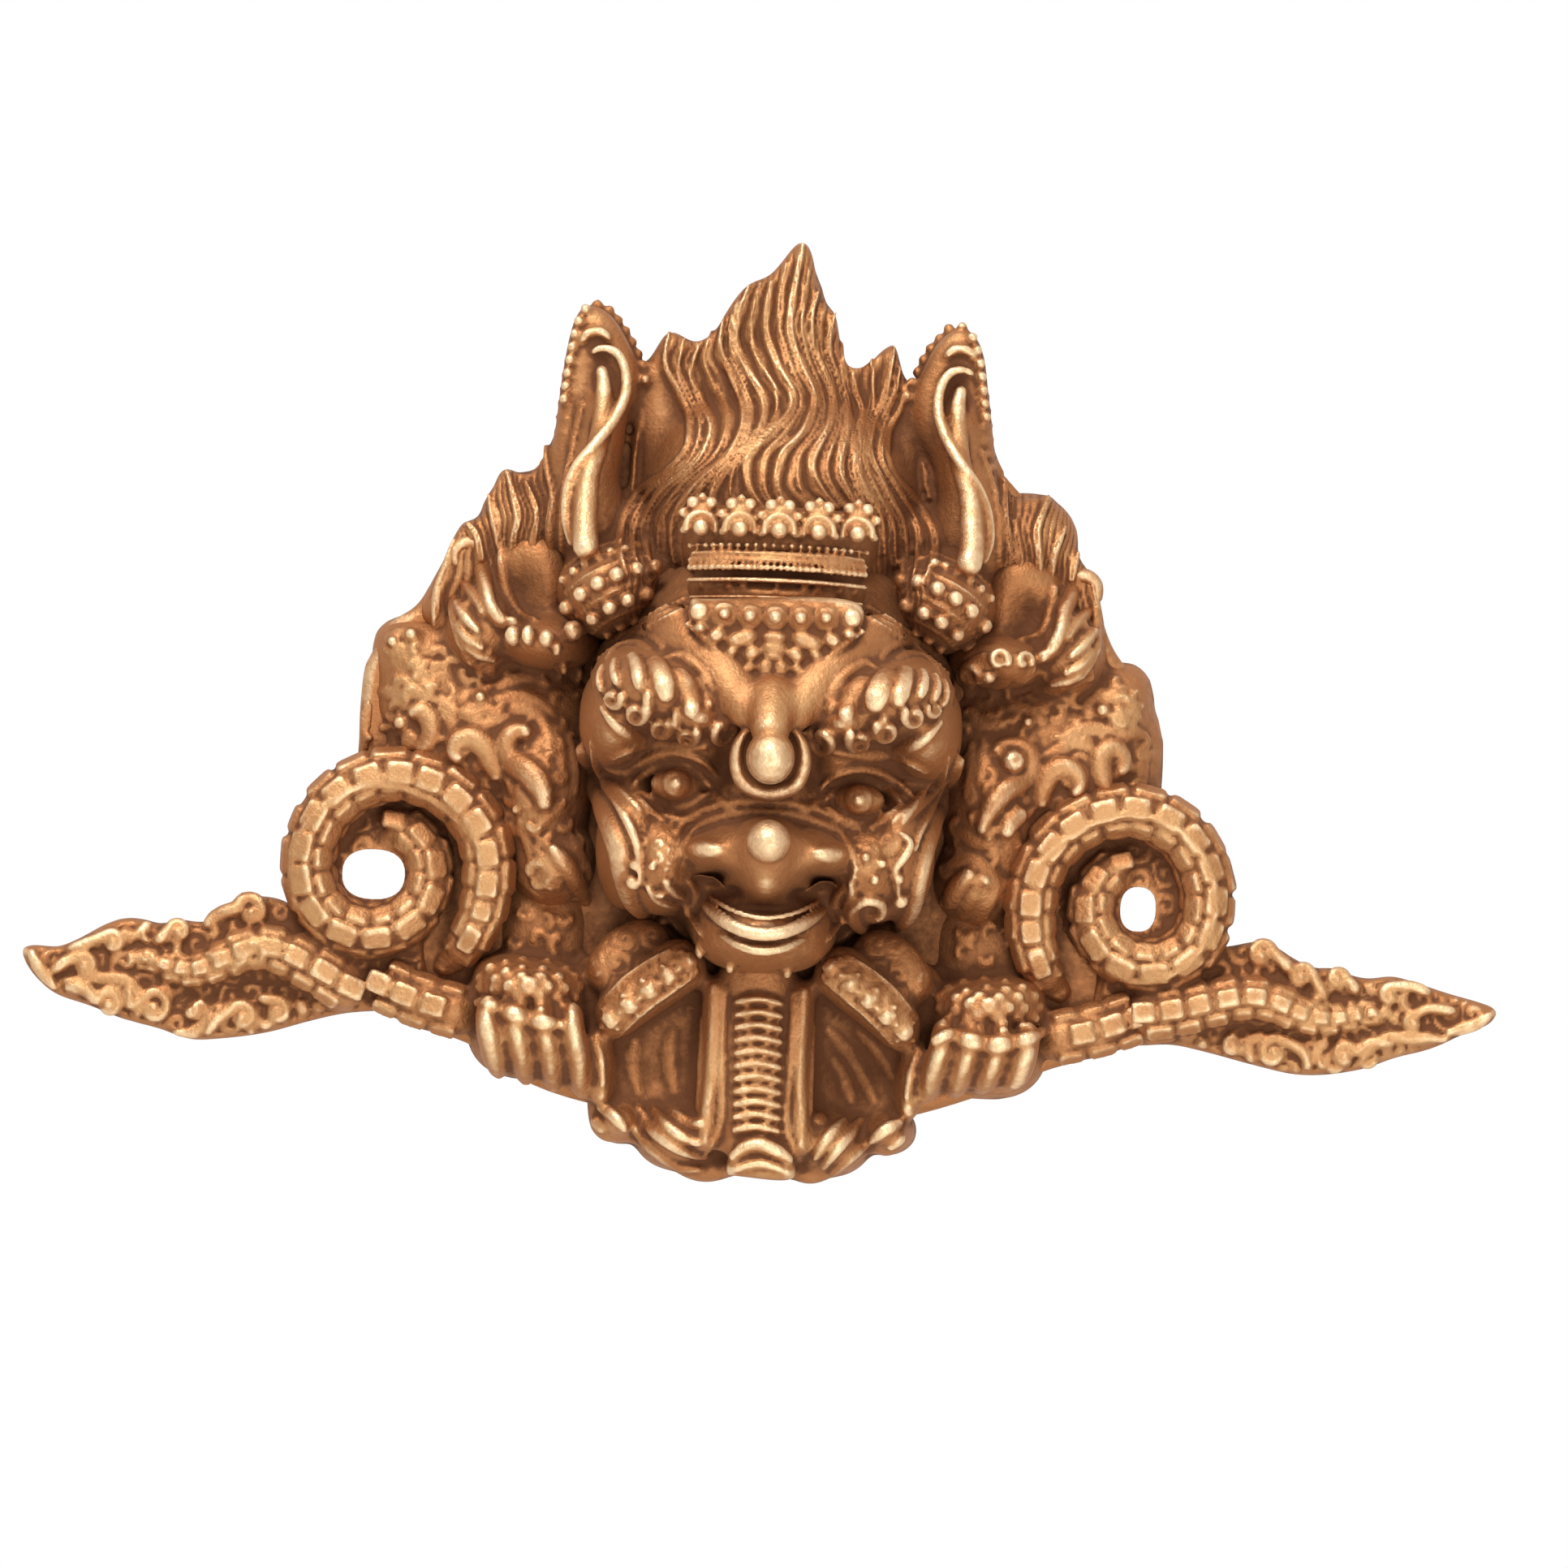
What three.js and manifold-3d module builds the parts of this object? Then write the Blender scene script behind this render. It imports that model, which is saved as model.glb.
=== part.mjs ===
// A cast brass garuda face that hangs on a wall. Sizes are in millimetres.
// X runs across, Z runs up and the wall is the plane Y = 0, with the face towards -Y.
// Every form is placed by three sizes: across, up, and out, which is how far it stands off the wall.
import * as THREE from 'three';
import { mergeVertices } from 'three/addons/utils/BufferGeometryUtils.js';
import Module from 'manifold-3d';

const wasm = await Module();
wasm.setup();

// Driving sizes
const REACH = 125;
const PLATE = 5;
const SNAKE = 4.3;
const WALL_NORMAL = new THREE.Vector3(0, 1, 0);
const SIDES = [-1, 1];

// Head
const HEAD = { across: 0, up: -50, wide: 32.5, tall: 38, out: 39, power: 2.5, waist: 0.34 };
const HOLLOW = { across: 0, up: -52, wide: 25, tall: 31, out: 32, power: 2.2, waist: 0.3 };
const BROW = { across: 18.5, up: -41.5, wide: 12.5, tall: 9.5, low: 20, out: 45, power: 2.2 };
const URNA = { up: -51.3, radius: 4.4, out: 50 };
const EYE = { across: 15.5, up: -56.2, ball: 2.4, lid: 4.4, out: 37.5 };
const NOSE = { across: 0.7, up: -67.8, wide: 12.5, tall: 8.2, low: 24, out: 49 };
const MOUTH = { across: 0.5, half: 10.5, upper: -76.4, lower: -81, out: 42.6 };
const JAW = { across: 0.5, up: -79.5, wide: 13.5, tall: 8, low: 16, out: 40 };

// Hair
const HAIR_MASS = { across: -0.5, up: -8, wide: 25, tall: 26, out: 24 };
const HAIR_PLATE = 8;

// Crown
const CROWN = { half: 15.5, up: -19.3, out: 38.5, finials: 5, finialPitch: 6.4, finialUp: -12 };
const JEWEL = { half: 14, up: -27.6, tip: -40.5, out: 42, beads: 5, pitch: 4.6 };

// Coils: each one winds in round its hole from the lower inner side. Reach is its middle line's
// distance from the centre of the hole, at even steps from the start to the end of the coil.
const COILS = [
  {
    across: -66,
    up: -73.6,
    hand: -1,
    hole: { wide: 5.8, tall: 4.6 },
    reach: [19.6, 19.4, 19.8, 18.8, 16.9, 14.4, 12.2, 11, 10.4, 9.8, 9.3, 9.1, 9.1, 9.2, 9.3, 9, 8],
  },
  {
    across: 63.4,
    up: -73.9,
    hand: 1,
    hole: { wide: 3.3, tall: 4.1 },
    reach: [19.2, 18.3, 18.2, 17.6, 16.6, 14.9, 12.8, 11.6, 11.2, 10.3, 9.2, 8.4, 7.9, 7.6, 7.5, 7.4, 6.9],
  },
];
const COIL_START = THREE.MathUtils.degToRad(-36);
const COIL_END = THREE.MathUtils.degToRad(446);
const COIL_PARTS = 2;

const at = (across, up, out) => new THREE.Vector3(across, -out, up);
const blend = THREE.MathUtils.lerp;

// Value of a list of sizes at a place from 0 to 1 along it
function sizeAlong(sizes, place) {
  const spot = place * (sizes.length - 1);
  const first = Math.min(Math.floor(spot), sizes.length - 2);
  return blend(sizes[first], sizes[first + 1], spot - first);
}

function signedVolume(positions, faces) {
  const corner = faces.map((index) => new THREE.Vector3().fromArray(positions, 3 * index));
  let volume = 0;
  for (let k = 0; k < corner.length; k += 3) {
    volume += corner[k].dot(corner[k + 1].clone().cross(corner[k + 2])) / 6;
  }
  return volume;
}

// Closed solid through a row of rings, where the first and the last ring may be a single point
function ringSolid(rings) {
  const positions = rings.flat().flatMap((point) => point.toArray());
  const faces = [];
  let start = 0;
  for (let row = 0; row + 1 < rings.length; row++) {
    const near = rings[row].length;
    const far = rings[row + 1].length;
    const next = start + near;
    for (let k = 0; k < Math.max(near, far); k++) {
      const a = start + (k % near);
      const b = start + ((k + 1) % near);
      const c = next + ((k + 1) % far);
      const d = next + (k % far);
      if (near > 1) faces.push(a, b, c);
      if (far > 1) faces.push(a, c, d);
    }
    start = next;
  }
  if (signedVolume(positions, faces) < 0) faces.reverse();
  const geometry = new THREE.BufferGeometry();
  geometry.setAttribute('position', new THREE.Float32BufferAttribute(positions, 3));
  geometry.setIndex(faces);
  return geometry;
}

function solid(geometry) {
  const bare = geometry.clone();
  bare.deleteAttribute('normal');
  bare.deleteAttribute('uv');
  const merged = mergeVertices(bare, 1e-4);
  return new wasm.Manifold(new wasm.Mesh({
    numProp: 3,
    vertProperties: new Float32Array(merged.attributes.position.array),
    triVerts: new Uint32Array(merged.index.array),
  }));
}

function join(solids) {
  let level = solids;
  while (level.length > 1) {
    const pairs = [];
    for (let k = 0; k < level.length; k += 2) {
      pairs.push(k + 1 < level.length ? level[k].add(level[k + 1]) : level[k]);
    }
    level = pairs;
  }
  return level[0];
}

// Rings of points set square to a smooth path, one for each step of it
function ringsAlong(points, sizes, steps, section) {
  const path = new THREE.CatmullRomCurve3(points, false, 'centripetal');
  const rings = [];
  for (let step = 0; step <= steps; step++) {
    const place = step / steps;
    const centre = path.getPoint(place);
    const along = path.getTangent(place);
    const side = along.clone().cross(WALL_NORMAL).normalize();
    const lift = side.clone().cross(along).normalize();
    rings.push(section(centre, side, lift, sizeAlong(sizes, place)));
  }
  return [[path.getPoint(0)], ...rings, [path.getPoint(1)]];
}

// Round strand along a smooth path, flattened towards the wall by flat
function strand(points, sizes, { steps = 6, sides = 6, flat = 1 } = {}) {
  const section = (centre, side, lift, size) => {
    const ring = [];
    for (let k = 0; k < sides; k++) {
      const turn = (k / sides) * 2 * Math.PI;
      const point = centre.clone();
      point.addScaledVector(side, size * Math.cos(turn));
      point.addScaledVector(lift, size * flat * Math.sin(turn));
      ring.push(point);
    }
    return ring;
  };
  return solid(ringSolid(ringsAlong(points, sizes, steps, section)));
}

// Relief stroke: a peak whose feet lie just under what it stands on, or a full one that goes down
// to low, with edges that lie drop times its size below its crest. A negative drop makes a trough.
function ridge(points, sizes, { steps = 5, low = 0, full = false, drop = 0.6 } = {}) {
  const section = (centre, side, lift, size) => {
    const flatSide = new THREE.Vector3(side.x, 0, side.z).normalize().multiplyScalar(size);
    const corner = (share, out) => {
      const point = centre.clone().addScaledVector(flatSide, share);
      point.y = -Math.max(out, low);
      return point;
    };
    const crest = -centre.y;
    const edge = Math.max(crest - drop * size, low + 0.2);
    const foot = crest - 1.5 * size - 1;
    if (full) return [corner(-1, low), corner(-1, edge), corner(0, crest), corner(1, edge), corner(1, low)];
    return [corner(-1.2, foot), corner(0, crest), corner(1.2, foot)];
  };
  const rings = ringsAlong(points, sizes, steps, section);
  for (const end of [rings[0][0], rings.at(-1)[0]]) end.y = full ? (end.y - low) / 2 : end.y + 0.8;
  return solid(ringSolid(rings));
}

// Places given as across, up and out for one side, mirrored for the other
const places = (list, side = 1) => list.map(([across, up, out]) => at(side * across, up, out));

// Boss on a flat base. A power above 2 squares its outline, and waist draws its lower half in.
function dome({ across, up, wide, tall, out, low = 0, sides = 12, rows = 3, waist = 0, power = 2 }) {
  const rings = [[at(across, up, low)]];
  const squared = (value) => Math.sign(value) * Math.abs(value) ** (2 / power);
  for (let row = 0; row < rows; row++) {
    const rise = (row / rows) * (Math.PI / 2);
    const spread = Math.cos(rise);
    const ring = [];
    for (let k = 0; k < sides; k++) {
      const turn = (k / sides) * 2 * Math.PI;
      const reach = wide * spread * squared(Math.cos(turn)) * (1 - waist * Math.max(0, -Math.sin(turn)));
      const climb = tall * spread * squared(Math.sin(turn));
      ring.push(at(across + reach, up + climb, blend(low, out, Math.sin(rise))));
    }
    rings.push(ring);
  }
  rings.push([at(across, up, out)]);
  return solid(ringSolid(rings));
}

const bead = (across, up, radius, low, out, sides = 6) =>
  dome({ across, up, wide: radius, tall: radius, low, out, sides, rows: 2 });

// Scroll that winds in from its outer end
function curl(across, up, reach, out, { from = 0, hand = 1, turns = 1, thick = 0.44, steps = 5 } = {}) {
  const points = [];
  for (let step = 0; step <= steps; step++) {
    const place = step / steps;
    const turn = THREE.MathUtils.degToRad(from) + hand * place * turns * 2 * Math.PI;
    const radius = reach * (1 - 0.75 * place);
    points.push(at(across + radius * Math.cos(turn), up + radius * Math.sin(turn), out + 0.8 * place));
  }
  return ridge(points, [0.5, 1, 1, 1, 0.9].map((share) => share * thick * reach), { steps });
}

// Flat plate with a smooth outline through the given points
function plate(outline, low, out, count) {
  const corners = outline.map(([across, up]) => new THREE.Vector2(across, up));
  const smooth = new THREE.SplineCurve([...corners, corners[0]]).getPoints(count);
  smooth.pop();
  const sizes = { depth: out - low, bevelEnabled: false };
  const geometry = new THREE.ExtrudeGeometry(new THREE.Shape(smooth), sizes);
  geometry.rotateX(Math.PI / 2);
  geometry.translate(0, -low, 0);
  return solid(geometry);
}

// Lock of flame hair that swings to both sides on its way from root to tip
function lock(root, tip, wide, swing, steps = 4) {
  const points = [];
  const along = tip.clone().sub(root);
  const side = new THREE.Vector3(-along.z, 0, along.x).normalize();
  for (let step = 0; step <= steps; step++) {
    const place = step / steps;
    const point = root.clone().addScaledVector(along, place);
    point.addScaledVector(side, swing * Math.sin(2 * Math.PI * place));
    point.y -= 2 * Math.sin(Math.PI * place);
    points.push(point);
  }
  const sizes = [0.8, 1, 0.95, 0.8, 0.55, 0.12].map((share) => share * wide);
  return ridge(points, sizes, { steps, full: true, low: 3 });
}

// Back plate: rows of its height and of its left and right edge
function backPlate() {
  const rows = [
    [10, -25, 22], [0, -38, 36], [-5, -43, 41], [-14, -51.5, 50], [-20, -56.5, 53.5], [-28, -61, 56],
    [-35, -67, 61], [-44, -69.6, 64], [-57, -69, 65], [-66, -58, 57], [-80, -56, 55], [-92, -64, 65],
    [-97, -62, 62], [-102, -48, 49],
  ];
  const left = rows.map(([up, edge]) => [edge, up]);
  const right = rows.map(([up, , edge]) => [edge, up]).reverse();
  return plate([...left, [-38, -108], [-20, -112], [20, -112], [40, -106], ...right], 0, PLATE, 38);
}

function hair() {
  // Outline of the flames between the horns
  const flames = [
    [-26, -12], [-25, 4], [-24, 13], [-20, 20], [-15.5, 18.8], [-12, 21], [-7.5, 28.5], [-3, 30], [1.9, 36.6],
    [4.6, 28], [7.6, 24.8], [9.6, 16.5], [13.5, 16.5], [17.7, 19.6], [20, 14], [23, 4], [25, -12],
  ];
  // Tips of the locks, each with its width and swing
  const inner = [
    [1.9, 36.9, 5.5, 2.2], [-7, 29, 4.6, -2], [-13, 20.5, 3.4, 1.8],
    [-20, 20.4, 4.2, -1.6], [7.5, 25.4, 4, -2], [17.7, 19.9, 4.2, -1.6],
  ];
  const outer = [
    [-47, -3.4, 4.6, 1.2], [-53.6, -13, 3.6, -1], [-41, 0, 3.4, 1],
    [45.6, -3.8, 4.6, -1.2], [51.5, -13, 3.4, 1], [38, -0.8, 3.2, -1],
  ];
  const tipOut = 4;
  const locks = inner.map(([across, up, wide, swing]) =>
    lock(at(across * 0.9, -14, 27 - 0.35 * Math.abs(across)), at(across, up, tipOut + 2), wide, swing));
  const sideLocks = outer.map(([across, up, wide, swing]) =>
    lock(at(across * 0.9, up - 22, 11), at(across, up, tipOut), wide, swing, 3));
  return join([dome(HAIR_MASS), plate(flames, 0, HAIR_PLATE, 28), ...locks, ...sideLocks]);
}

// Each horn rises from two collars, in front of a leaf-shaped hood
function horns() {
  const pair = [
    {
      horn: [[-24.5, -31, 25], [-26.6, -27, 26], [-28, -23.5, 25.5], [-30, -20, 25], [-32, -16, 23.5],
        [-34.3, -9, 20], [-33, 0, 16], [-30, 8, 13], [-29.5, 13, 12], [-31.5, 16.5, 11], [-34.5, 16, 10]],
      hood: [[-32, -18, 17], [-34, -4, 13], [-32.5, 7, 12], [-31.3, 16, 10], [-34, 24.2, 6]],
    },
    {
      horn: [[24.5, -31.5, 25], [27, -27.5, 26], [28.4, -24, 25.5], [30, -20.5, 25], [31.6, -16.5, 23.5],
        [33, -10, 20], [31.5, -1, 16], [28, 6, 13], [26.6, 11, 12], [28, 15.5, 11], [30.5, 16.5, 10]],
      hood: [[32, -18, 17], [33.5, -5, 13], [29.8, 7, 12], [28, 15, 10], [28.7, 22.6, 6]],
    },
  ];
  // One thickness for each point of the horn: two swellings for the collars, then the bare horn
  const thickness = [7.4, 9.2, 7.4, 8.6, 4.6, 3.2, 2.7, 2.1, 1.7, 1.3, 0.9];
  return join(pair.flatMap(({ horn, hood }) => [
    strand(places(horn), thickness, { steps: 10, sides: 6 }),
    ridge(places(hood), [4, 5.6, 7, 5.6, 0.5], { steps: 5, full: true, drop: -0.4 }),
  ]));
}

function crown() {
  const bow = 5.5;
  const band = { across: 0, up: CROWN.up + 4, wide: CROWN.half + 1, tall: 8, low: 8, out: CROWN.out - 2.5 };
  const arc = (up, out) => [-1, -0.5, 0, 0.5, 1].map((share) =>
    at(share * CROWN.half, up, out - bow * share * share));
  const made = [
    ridge(arc(CROWN.up + 1.7, CROWN.out - 1), [1.6, 1.6], { steps: 4 }),
    ridge(arc(CROWN.up - 1.7, CROWN.out), [1.5, 1.5], { steps: 4 }),
    dome({ ...band, power: 2.6, rows: 2 }),
  ];
  for (let k = 0; k < CROWN.finials; k++) {
    const across = (k - 2) * CROWN.finialPitch;
    const out = CROWN.out - 1.5 - 0.03 * across * across;
    made.push(dome({ across, up: CROWN.finialUp, wide: 3, tall: 4.8, low: 26, out, sides: 5, rows: 2 }));
  }
  return join(made);
}

// Triangle of set stones on the forehead
function jewel() {
  const field = [[-JEWEL.half, -25], [JEWEL.half, -25], [9, -32], [0, JEWEL.tip], [-9, -32]];
  const made = [plate(field, 20, JEWEL.out - 2.5, 15)];
  for (let k = 0; k < JEWEL.beads; k++) {
    const across = (k - 2) * JEWEL.pitch;
    made.push(bead(across, JEWEL.up, 2, 36, JEWEL.out, 5));
  }
  for (const side of SIDES) made.push(bead(side * 4, -31.8, 2, 36, JEWEL.out + 0.4, 5));
  made.push(bead(0, -36.4, 2.1, 36, JEWEL.out + 1, 5));
  return join(made);
}

// Bulging brow with a row of curls along its lower edge and feathers above them
function brow(side) {
  const curls = [[24.4, -42.2, 43], [18.6, -46, 46], [8.4, -46.2, 47]];
  const feathers = [
    [[24, -35.5, 41], [23, -38.5, 45], [22.5, -41.5, 44]],
    [[18.6, -34, 43.5], [17.8, -39, 47.5], [17, -43.5, 46]],
    [[12.6, -37, 43.5], [12.4, -41, 47], [12.4, -45.5, 46]],
  ];
  return join([
    dome({ ...BROW, across: side * BROW.across, sides: 9 }),
    ...curls.map(([across, up, out]) => bead(side * across, up, 2.5, out - 6, out + 0.6, 5)),
    ...feathers.map((run) => ridge(places(run, side), [1.4, 2.4, 1.6], { steps: 2 })),
  ]);
}

function eye(side) {
  const across = side * EYE.across;
  const ringOf = (radius) => Array.from({ length: 8 }, (_, k) => {
    const turn = (k / 7) * 2 * Math.PI * 0.97;
    return at(across + radius * Math.cos(turn), EYE.up + radius * Math.sin(turn), EYE.out);
  });
  const upper = [[6.5, -50.5, 39], [14, -50.4, 41], [21, -52, 38.5], [28, -57, 30]];
  return join([
    ridge(ringOf(EYE.lid), [1.3, 1.3], { steps: 7 }),
    bead(across, EYE.up, EYE.ball, 30, EYE.out + 1.8, 6),
    ridge(places(upper, side), [1, 1.7, 1.7, 1], { steps: 3 }),
  ]);
}

function face() {
  const bridge = [[0, -36, 40], [0, -42.5, 44.5], [0, -48, 48]];
  const drop = { across: 0, up: URNA.up, wide: URNA.radius - 0.6, tall: URNA.radius, low: 30, out: URNA.out };
  const hood = [[-4.4, -45, 45], [-6, -51.5, 43.5], [-4.2, -56.8, 42.5], [0, -58.6, 42], [4.2, -56.8, 42.5],
    [6, -51.5, 43.5], [4.4, -45, 45]];
  return join([
    dome({ ...HEAD, sides: 16, rows: 4 }),
    ...SIDES.flatMap((side) => [brow(side), eye(side), cheek(side)]),
    ridge(places(bridge), [3.4, 3.4, 4.4], { steps: 2, low: 34, full: true }),
    dome({ ...drop, sides: 8, rows: 2 }),
    ridge(places(hood), [1.2, 1.5, 1.6, 1.6, 1.6, 1.5, 1.2], { steps: 6 }),
    nose(),
    mouth(),
  ]);
}

function nose() {
  const rim = [[-13.5, -71, 38], [-12.8, -65.5, 40], [-7.5, -61.8, 42], [0.7, -60.2, 42.5], [9, -61.8, 42],
    [14.2, -65.5, 40], [15, -71, 38]];
  const ball = { across: NOSE.across, up: -66, wide: 5.2, tall: 5.4, low: 34, out: NOSE.out + 3 };
  const wing = { up: -67.4, wide: 4.4, tall: 3.6, low: 30, out: 47.5, sides: 6, rows: 2 };
  const nostril = { up: -71, wide: 2.4, tall: 1.9, low: 40, out: 56, sides: 5, rows: 1 };
  const made = [
    dome({ ...NOSE, power: 2.2, sides: 10, rows: 2 }),
    dome({ ...ball, sides: 8, rows: 2 }),
    ridge(places(rim), [1, 1.5, 1.6, 1.6, 1.6, 1.5, 1], { steps: 6 }),
    ...SIDES.map((side) => dome({ ...wing, across: NOSE.across + side * 9 })),
  ];
  const nostrils = SIDES.map((side) => dome({ ...nostril, across: NOSE.across + side * 8.4 }));
  return join(made).subtract(join(nostrils));
}

function mouth() {
  const lip = (up, dip, out, size) => {
    const points = [-1, -0.55, 0, 0.55, 1].map((share) => {
      const across = MOUTH.across + share * MOUTH.half;
      return at(across, up - dip * (1 - share * share), out - 4 * share * share);
    });
    const sizes = [0.5, 0.95, 1, 0.95, 0.5].map((share) => share * size);
    return ridge(points, sizes, { steps: 6, low: JAW.low, full: true });
  };
  return join([
    dome({ ...JAW, power: 2.3, sides: 10, rows: 2 }),
    lip(MOUTH.upper, 4.2, MOUTH.out, 1.2),
    lip(MOUTH.lower, 2.6, MOUTH.out - 1.5, 1.3),
  ]);
}

// Flame that runs down the cheek and hooks in below the nose, with a leaf beside it
function cheek(side) {
  const run = [
    [33, -44, 24], [31, -55, 29], [27.5, -63, 33], [25.2, -70, 36],
    [24.6, -75.5, 37.5], [21, -79, 38.5], [17, -78, 39.5], [16, -75, 40],
  ];
  const leaf = [[42, -66, 14], [37, -67, 20], [32.5, -72, 25], [29.5, -79, 27]];
  return join([
    ridge(places(run, side), [2.8, 3.2, 3, 2.8, 2.6, 2.2, 1.8, 1.2], { steps: 7, low: 10, full: true }),
    ridge(places(leaf, side), [2, 3.8, 4, 1.4], { steps: 3, full: true }),
  ]);
}

// Hollow leaf-shaped ear
function ears() {
  const pair = [
    [[-33, -33, 22], [-43, -30, 18], [-50, -24.5, 15], [-53, -16.2, 11]],
    [[33, -34, 22], [42, -31, 18], [48.4, -26, 15], [52, -18.4, 11]],
  ];
  const sizes = [3, 5.6, 5, 1.2];
  return join(pair.map((bowl) => ridge(places(bowl), sizes, { steps: 4, full: true, drop: -0.5 })));
}

// Raised panel with scrolls between the ear and the coil
function shoulders() {
  const scrolls = [
    [-62, -47.5, 4, 0, 1, 9.5], [-50, -52.5, 4, 180, -1, 13], [-42, -49.5, 4.4, 90, 1, 13.5],
    [58, -48.5, 4, 180, -1, 11], [49, -53, 4, 0, 1, 13], [41, -50, 4.4, 90, -1, 13.5],
  ];
  const made = scrolls.map(([across, up, reach, from, hand, out]) =>
    curl(across, up, reach, out, { from, hand }));
  for (const side of SIDES) {
    const panel = { across: side * 47, up: -50, wide: 18, tall: 15, out: 12, power: 3 };
    made.push(dome({ ...panel, rows: 2, sides: 10 }));
  }
  return join(made);
}

// One serpent coil: short overlapping lengths of body on a ring-shaped floor
function coil({ across, up, hand, hole, reach }) {
  const made = [];
  const pathSteps = 10;
  const overlap = 1.04;
  for (let part = 0; part < COIL_PARTS; part++) {
    const points = [];
    for (let step = 0; step <= pathSteps; step++) {
      const place = (part + (step / pathSteps) * overlap) / COIL_PARTS;
      const turn = blend(COIL_START, COIL_END, place);
      const radius = sizeAlong(reach, Math.min(place, 1));
      const out = 8.6 - 1.2 * Math.sin(turn / 2);
      points.push(at(across - hand * radius * Math.cos(turn), up + radius * Math.sin(turn), out));
    }
    const size = part === COIL_PARTS - 1 ? [SNAKE, SNAKE, SNAKE, 3] : [SNAKE, SNAKE];
    made.push(strand(points, size, { steps: pathSteps, sides: 6 }));
  }
  const floor = { across: across - 2.5 * hand, up: up + 1.5, wide: 14.5, tall: 14, out: 5 };
  made.push(dome({ ...floor, sides: 10, rows: 1 }));
  const drill = dome({ across, up, ...hole, power: 2.4, low: -5, out: 60, sides: 10, rows: 1 });
  return join(made).subtract(drill);
}

// Leaf-shaped plate at the far side, with the waving end of the serpent on it
function tail(side) {
  const leaf = side < 0
    ? [
      [-57, -84], [-77, -82], [-84, -78.4], [-90, -80], [-97, -82.8], [-107, -83], [-114, -86],
      [-REACH, -88.6], [-120, -95], [-109, -99.6], [-94, -102.8], [-78, -99.6], [-57, -96],
    ]
    : [
      [57, -84], [76, -82], [84, -78.6], [90, -81], [98, -82.6], [107, -83.4], [115, -85.8],
      [REACH, -88.8], [117, -94], [106, -98.2], [93, -100.8], [78, -98.6], [57, -96],
    ];
  const wave = [[62, -93, 9], [69, -91.5, 9.6], [76, -88.6, 10], [83, -87.4, 10], [89, -89.4, 9.6],
    [95, -91, 9.2], [101, -89.6, 8.8], [107, -89, 8], [114, -90.5, 7]];
  const waveSizes = [4, 4.2, 4, 3.6, 3.4, 3.2, 2.8, 2, 0.9];
  const low = [[104, -96.6], [87, -97]];
  return join([
    plate(leaf, 0, PLATE + 1, 22),
    ridge(places(wave, side), waveSizes, { steps: 8, low: 4, full: true, drop: 0.75 }),
    ...low.map(([across, up]) => curl(side * across, up, 3, PLATE + 2.4, { from: 90, hand: side })),
    curl(side * 88, -82, 2.6, PLATE + 2.4, { from: 270, hand: -side }),
  ]);
}

// Fist that grips the serpent: jewelled back of the hand and four fingers
function fist(side) {
  const across = side * 38.5;
  const up = -98;
  const tip = side < 0 ? -109 : -106;
  const body = [[64, -92, 8], [56, -95.5, 10], [47, -97, 12]];
  const made = [
    dome({ across, up: up + 1, wide: 11.5, tall: 10, out: 17, power: 2.5, sides: 8, rows: 2 }),
    dome({ across, up: up + 6, wide: 10, tall: 5.5, low: 8, out: 22, power: 2.3, sides: 7, rows: 2 }),
    strand(places(body, side), [SNAKE, SNAKE + 0.4, SNAKE], { steps: 3 }),
  ];
  for (let finger = 0; finger < 4; finger++) {
    const x = across - 6.9 + 4.6 * finger;
    const run = [[x, up + 3.5, 21], [x, up, 23], [x + 0.4, up - 4.5, 21.5], [x + 0.8, tip + 1, 14]];
    made.push(ridge(places(run), [1.8, 2.3, 2.2, 1.6], { steps: 2, low: 8, full: true, drop: 0.7 }));
  }
  return join(made);
}

// Lower body: ribbed centre column between two recessed panels, and the lobes of the bottom edge
function lowerBody() {
  const block = [
    [-30, -86], [30, -86], [27, -100], [25.5, -110], [25, -116], [16, -119.6], [10, -122.8],
    [0, -121.4], [-8, -122.9], [-16, -120], [-24, -116.8], [-28, -111], [-28, -100],
  ];
  const ribs = 9;
  const ribPitch = 2.35;
  const made = [
    plate(block, 0, 11, 22),
    ridge(places([[0, -86, 21.4], [0, -116, 18.6]]), [5.4, 5.2], { steps: 1, full: true, drop: 0.2 }),
    plate([[-4.2, -120.8], [7.2, -121], [6.4, -117.6], [1.4, -114.8], [-3.6, -117.6]], 9, 21.3, 10),
  ];
  for (let rib = 0; rib < ribs; rib++) {
    const up = -93.5 - ribPitch * rib;
    const out = 21.4 - 0.25 * rib;
    const run = [[-4.6, up, out], [4.6, up, out]];
    made.push(ridge(places(run), [0.9, 0.9], { steps: 1 }));
  }
  for (const side of SIDES) {
    const rim = [[7.3, -88, 20], [7.4, -103, 20], [7.8, -118, 17]];
    const band = [[9, -86, 26], [17, -90, 23], [27.5, -98, 18]];
    const edge = [[26.5, -97, 17], [25.4, -104, 16], [26, -112, 14]];
    made.push(ridge(places(rim, side), [1.8, 2.1, 2.1], { steps: 1, full: true, low: 9 }));
    made.push(ridge(places(band, side), [3, 3.2, 2.8], { steps: 2, low: 9, full: true }));
    made.push(ridge(places(edge, side), [2.2, 2.4, 2.2], { steps: 1, full: true, low: 9 }));
    made.push(dome({ across: side * 12.5, up: -116.4, wide: 7.5, tall: 5.4, out: 18, sides: 8, rows: 2 }));
    made.push(dome({ across: side * 21.5, up: -113, wide: 5.8, tall: 4.2, out: 16, sides: 7, rows: 2 }));
  }
  return join(made);
}

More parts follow.
